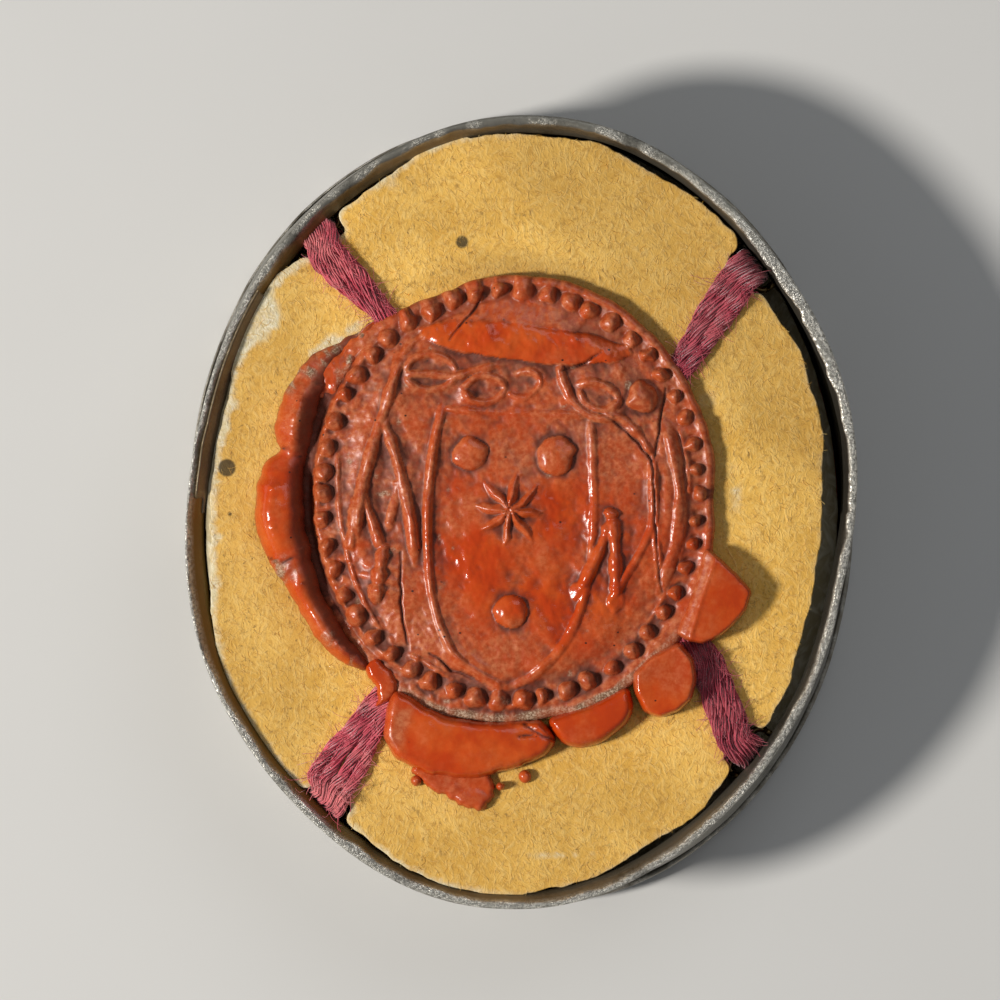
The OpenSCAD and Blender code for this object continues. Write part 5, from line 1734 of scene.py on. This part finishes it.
def clothMaterial():
    # close woven silk: threads over and under, a soft sheen, faded in patches
    material, w, shader, place = newMaterial("silkCloth", Roughness=0.55, Sheen_Weight=0.2)
    waves = [w.add("ShaderNodeTexWave", {"bands_direction": way}, Vector=place, Scale=900.0, Distortion=0.4,
                   Detail=2.0).outputs["Fac"] for way in ("X", "Y")]
    weave = w.times(waves[0], waves[1])
    faded = w.noise(place, 160.0, 4.0, 0.6)
    base = w.blend(w.remap(faded, 0.35, 0.7), colour(146, 26, 36), colour(180, 62, 58))
    base = w.blend(w.times(weave, 0.5), base, colour(206, 96, 86))
    paint(w, shader, Base_Color=base, Normal=w.bump(weave, 0.6, 0.00004))
    return material


def boneMaterial():
    material, w, shader, place = newMaterial("oldBone", Roughness=0.6, Subsurface_Weight=0.1,
                                             Subsurface_Scale=0.0004)
    pores = w.remap(w.cells(w.stretch(place, (0.5, 1.6, 1.0)), 5200.0), 0.3, 0.08)
    grain = w.noise(w.stretch(place, (0.3, 1.4, 1.0)), 2600.0, 4.0, 0.6)
    base = w.blend(w.remap(grain, 0.35, 0.7), colour(206, 184, 140), colour(164, 132, 86))
    base = w.blend(pores, base, colour(92, 66, 40))
    paint(w, shader, Base_Color=base, Normal=w.bump(w.minus(grain, pores), 0.5, 0.00005))
    return material


def paperMaterial():
    material, w, shader, place = newMaterial("blankPaper", Roughness=0.85)
    felt = placeGroup(w, feltFibres, Vector=place, Scale=3000.0)
    foxed = w.noise(place, 700.0, 4.0, 0.6)
    base = w.blend(felt[0], colour(220, 204, 164), colour(236, 224, 190))
    base = w.blend(w.remap(foxed, 0.58, 0.7), base, colour(166, 124, 70))
    paint(w, shader, Base_Color=base, Normal=w.bump(felt[0], 0.4, 0.00003))
    return material


def cottonMaterial():
    material, w, shader, place = newMaterial("cottonWool", Roughness=0.95, Sheen_Weight=0.3)
    felt = placeGroup(w, feltFibres, Vector=place, Scale=1300.0)
    fluff = w.noise(place, 900.0, 5.0, 0.65)
    base = w.blend(w.remap(fluff, 0.3, 0.7), colour(196, 184, 158), colour(238, 232, 216))
    base = w.blend(w.times(felt[0], 0.5), base, colour(246, 242, 230))
    paint(w, shader, Base_Color=base, Normal=w.bump(w.plus(fluff, felt[0]), 0.8, 0.00012))
    return material


def plateFor(name, node, look, slot, material, wave=None, holes=0):
    low, high = levelsOf(node)
    points, faces, _ = buildPlate(flatLoops(node, high)[:1 + holes], low, high, look, wave)
    return finishPiece(makeMesh(name, points, faces), slot, material, node)


def buildChip(look):
    # a sliver of old bone: flat where it lies on the silk, rounded and broken at its ends
    low, high = levelsOf("relic_fragment")
    loop = flatLoops("relic_fragment", high)[0]
    points, faces, outline = buildPlate([loop], low, high, look)
    x, y, z = points.T
    away = edgeDistance(points[:, :2], outline)
    lift = 0.16 * ease((0.5 - away) / 0.5) + 0.05 * layeredNoise(x * 0.5, y, 0.5, 73, 3) ** 2
    points[:, 2] = np.minimum(z + (z < (low + high) / 2) * lift, high)
    return finishPiece(makeMesh("relicChip", points, faces), "bone", boneMaterial(), "relic_fragment")


def buildTies(look):
    # three turns of thread round the chip
    co = nodePoints("relic_tie")
    wide = look["wire"]
    turn = np.radians(np.arange(0, 360, 15))
    c, s = np.cos(turn), np.sin(turn)
    bulk = np.maximum(np.abs(c), np.abs(s)) ** 0.6
    paths = []
    for at in look["bands"]:
        near = co[np.abs(co[:, 0] - at) < 0.4]
        y0, y1 = near[:, 1].min(), near[:, 1].max()
        z0, z1 = near[:, 2].min(), near[:, 2].max()
        ring = np.column_stack([near[:, 0].mean() + 0.05 * np.sin(turn),
                                (y0 + y1) / 2 + ((y1 - y0) / 2 - wide) * c / bulk ** 0.9,
                                (z0 + z1) / 2 + ((z1 - z0) / 2 - wide) * s / bulk ** 0.9])
        ring[:, 1] = np.clip(ring[:, 1], y0 + wide, y1 - wide)
        ring[:, 2] = np.clip(ring[:, 2], z0 + wide, z1 - wide)
        paths.append(pathCurve(ring, True))
    tie = joinPieces([withNodes(path, silkTree, "relicTie", **look["fibres"]) for path in paths])
    for path in paths:
        bpy.data.objects.remove(path)
    return finishPiece(tie, "silk_thread", crimsonSilk, "relic_tie")


def buildGilt(look):
    # a twisted wire laid round the silk
    co = nodePoints("gilt_border")
    low, high = levelsOf("gilt_border")
    outer = radiusAround(co, np.zeros(2), 4)
    angle = np.arange(0, 360, 1.5)
    radius = outer(angle) - (high - low) / 2
    line = polarRing(angle, radius, (low + high) / 2)
    gilt = giltMaterial()
    tree = cordTree("twistedWire", gilt)
    return makeCord("giltBorder", line, tree, "gilt", gilt, ["gilt_border"], True, **look)


bezelLook = {"steps": 480, "lip": 0.49, "dents": 0.03, "slim": 0.14, "rustAndCardReflection": 0.12}
glassLook = {"spacing": 1.2, "edgeStep": 0.35, "edgeRound": 0.35, "smoothing": 2}
spacerLook = {"spacing": 0.5, "edgeStep": 0.3, "edgeRound": 0.08, "smoothing": 1, "ragged": 0.03}
relicCardLook = {"spacing": 0.8, "edgeStep": 0.3, "edgeRound": 0.08, "smoothing": 1, "ragged": 0.03}
clothLook = {"spacing": 0.45, "edgeStep": 0.3, "edgeRound": 0.03, "smoothing": 1}
stripLook = {"spacing": 0.3, "edgeStep": 0.12, "edgeRound": 0.03, "smoothing": 1, "ragged": 0.04}
chipLook = {"spacing": 0.1, "edgeStep": 0.09, "edgeRound": 0.12, "smoothing": 3, "ragged": 0.04}
cottonLook = {"spacing": 0.4, "edgeStep": 0.3, "edgeRound": 1.1, "smoothing": 3, "ragged": 0.12}
tieLook = {"bands": (-1.2, 0.0, 1.1), "wire": 0.07,
           "fibres": {"Fibres": 7, "Cord_Radius": 0.00007, "Fibre_Radius": 0.000026, "Sides": 5,
                      "Twist_Length": 0.0012, "Looseness": 0.00001}}
giltLook = {"Fibres": 3, "Cord_Radius": 0.00038, "Fibre_Radius": 0.00018, "Sides": 10,
            "Twist_Length": 0.0018, "Looseness": 0.00001}


def clothWave(x, y):
    return 0.012 * layeredNoise(x, y, 2.2, 55, 3)


def stripWave(x, y):
    return -0.02 * np.abs(softNoise(x, y, 1.6, 66))


def cottonWave(x, y):
    return -0.05 * (1 + layeredNoise(x, y, 2.0, 77, 4))


buildBezel(bezelLook)
plateFor("frontGlass", "front_glass", glassLook, "glass", glassMaterial())
plateFor("spacerRing", "spacer_ring", spacerLook, "white_card", whiteCard, holes=1)
plateFor("relicCard", "relic_card", relicCardLook, "white_card", whiteCard)
cloth = plateFor("silkGround", "silk_ground", clothLook, "silk_ground", clothMaterial(), clothWave)
span = [np.ptp(nodePoints("silk_ground")[:, k]) * mm for k in (0, 1)]
plateFor("labelStrip", "label_strip", stripLook, "blank_paper", paperMaterial(), stripWave)
buildChip(chipLook)
buildTies(tieLook)
buildGilt(giltLook)
cotton = plateFor("cottonPadding", "cotton_padding", cottonLook, "cotton", cottonMaterial(), cottonWave)
print("front and display done")


# floor, lights and camera

def buildStage():
    bpy.ops.mesh.primitive_plane_add(size=3, location=(0, 0, cadBox[0][2] - 0.00002))
    floor = bpy.context.object
    floor.name = "floor"
    material, w, shader, place = newMaterial("paleFloor", Roughness=0.9)
    tone = w.blend(w.noise(place, 40.0, 3.0), (0.62, 0.61, 0.59, 1), (0.66, 0.65, 0.63, 1))
    paint(w, shader, Base_Color=tone)
    floor.data.materials.append(material)


def addLight(name, azimuth, elevation, distance, size, power, tint):
    lamp = bpy.data.lights.new(name, "AREA")
    lamp.shape = "DISK"
    lamp.size = size
    lamp.energy = power
    lamp.color = tint
    light = placeObject(name, lamp)
    a, e = math.radians(azimuth), math.radians(elevation)
    way = (math.cos(e) * math.cos(a), math.cos(e) * math.sin(a), math.sin(e))
    light.location = [c * distance for c in way]
    light.rotation_euler = Vector(way).to_track_quat("Z", "Y").to_euler()


def buildCamera():
    # straight down on the sealed rear, 50 mm of the object across the view
    view = {"distance": 0.7, "across": 0.05, "middle": (-0.001, 0.0006)}
    camera = bpy.data.cameras.new("camera")
    camera.sensor_width = 36
    camera.lens = camera.sensor_width * view["distance"] / view["across"]
    camera.clip_end = 5
    holder = placeObject("camera", camera)
    holder.location = (*view["middle"], faceTop * mm + view["distance"])
    bpy.context.scene.camera = holder


buildStage()
addLight("keyLight", 192, 40, 0.5, 0.075, 2.75, (1.0, 0.97, 0.92))
addLight("fillLight", 60, 50, 0.6, 0.4, 0.5, (0.92, 0.96, 1.0))
buildCamera()
bpy.context.scene.view_settings.view_transform = "Standard"
world = bpy.data.worlds.new("softRoom")
world.use_nodes = True
world.node_tree.nodes["Background"].inputs["Color"].default_value = (0.75, 0.78, 0.82, 1)
world.node_tree.nodes["Background"].inputs["Strength"].default_value = 0.2
bpy.context.scene.world = world
print("stage, lights and camera done")
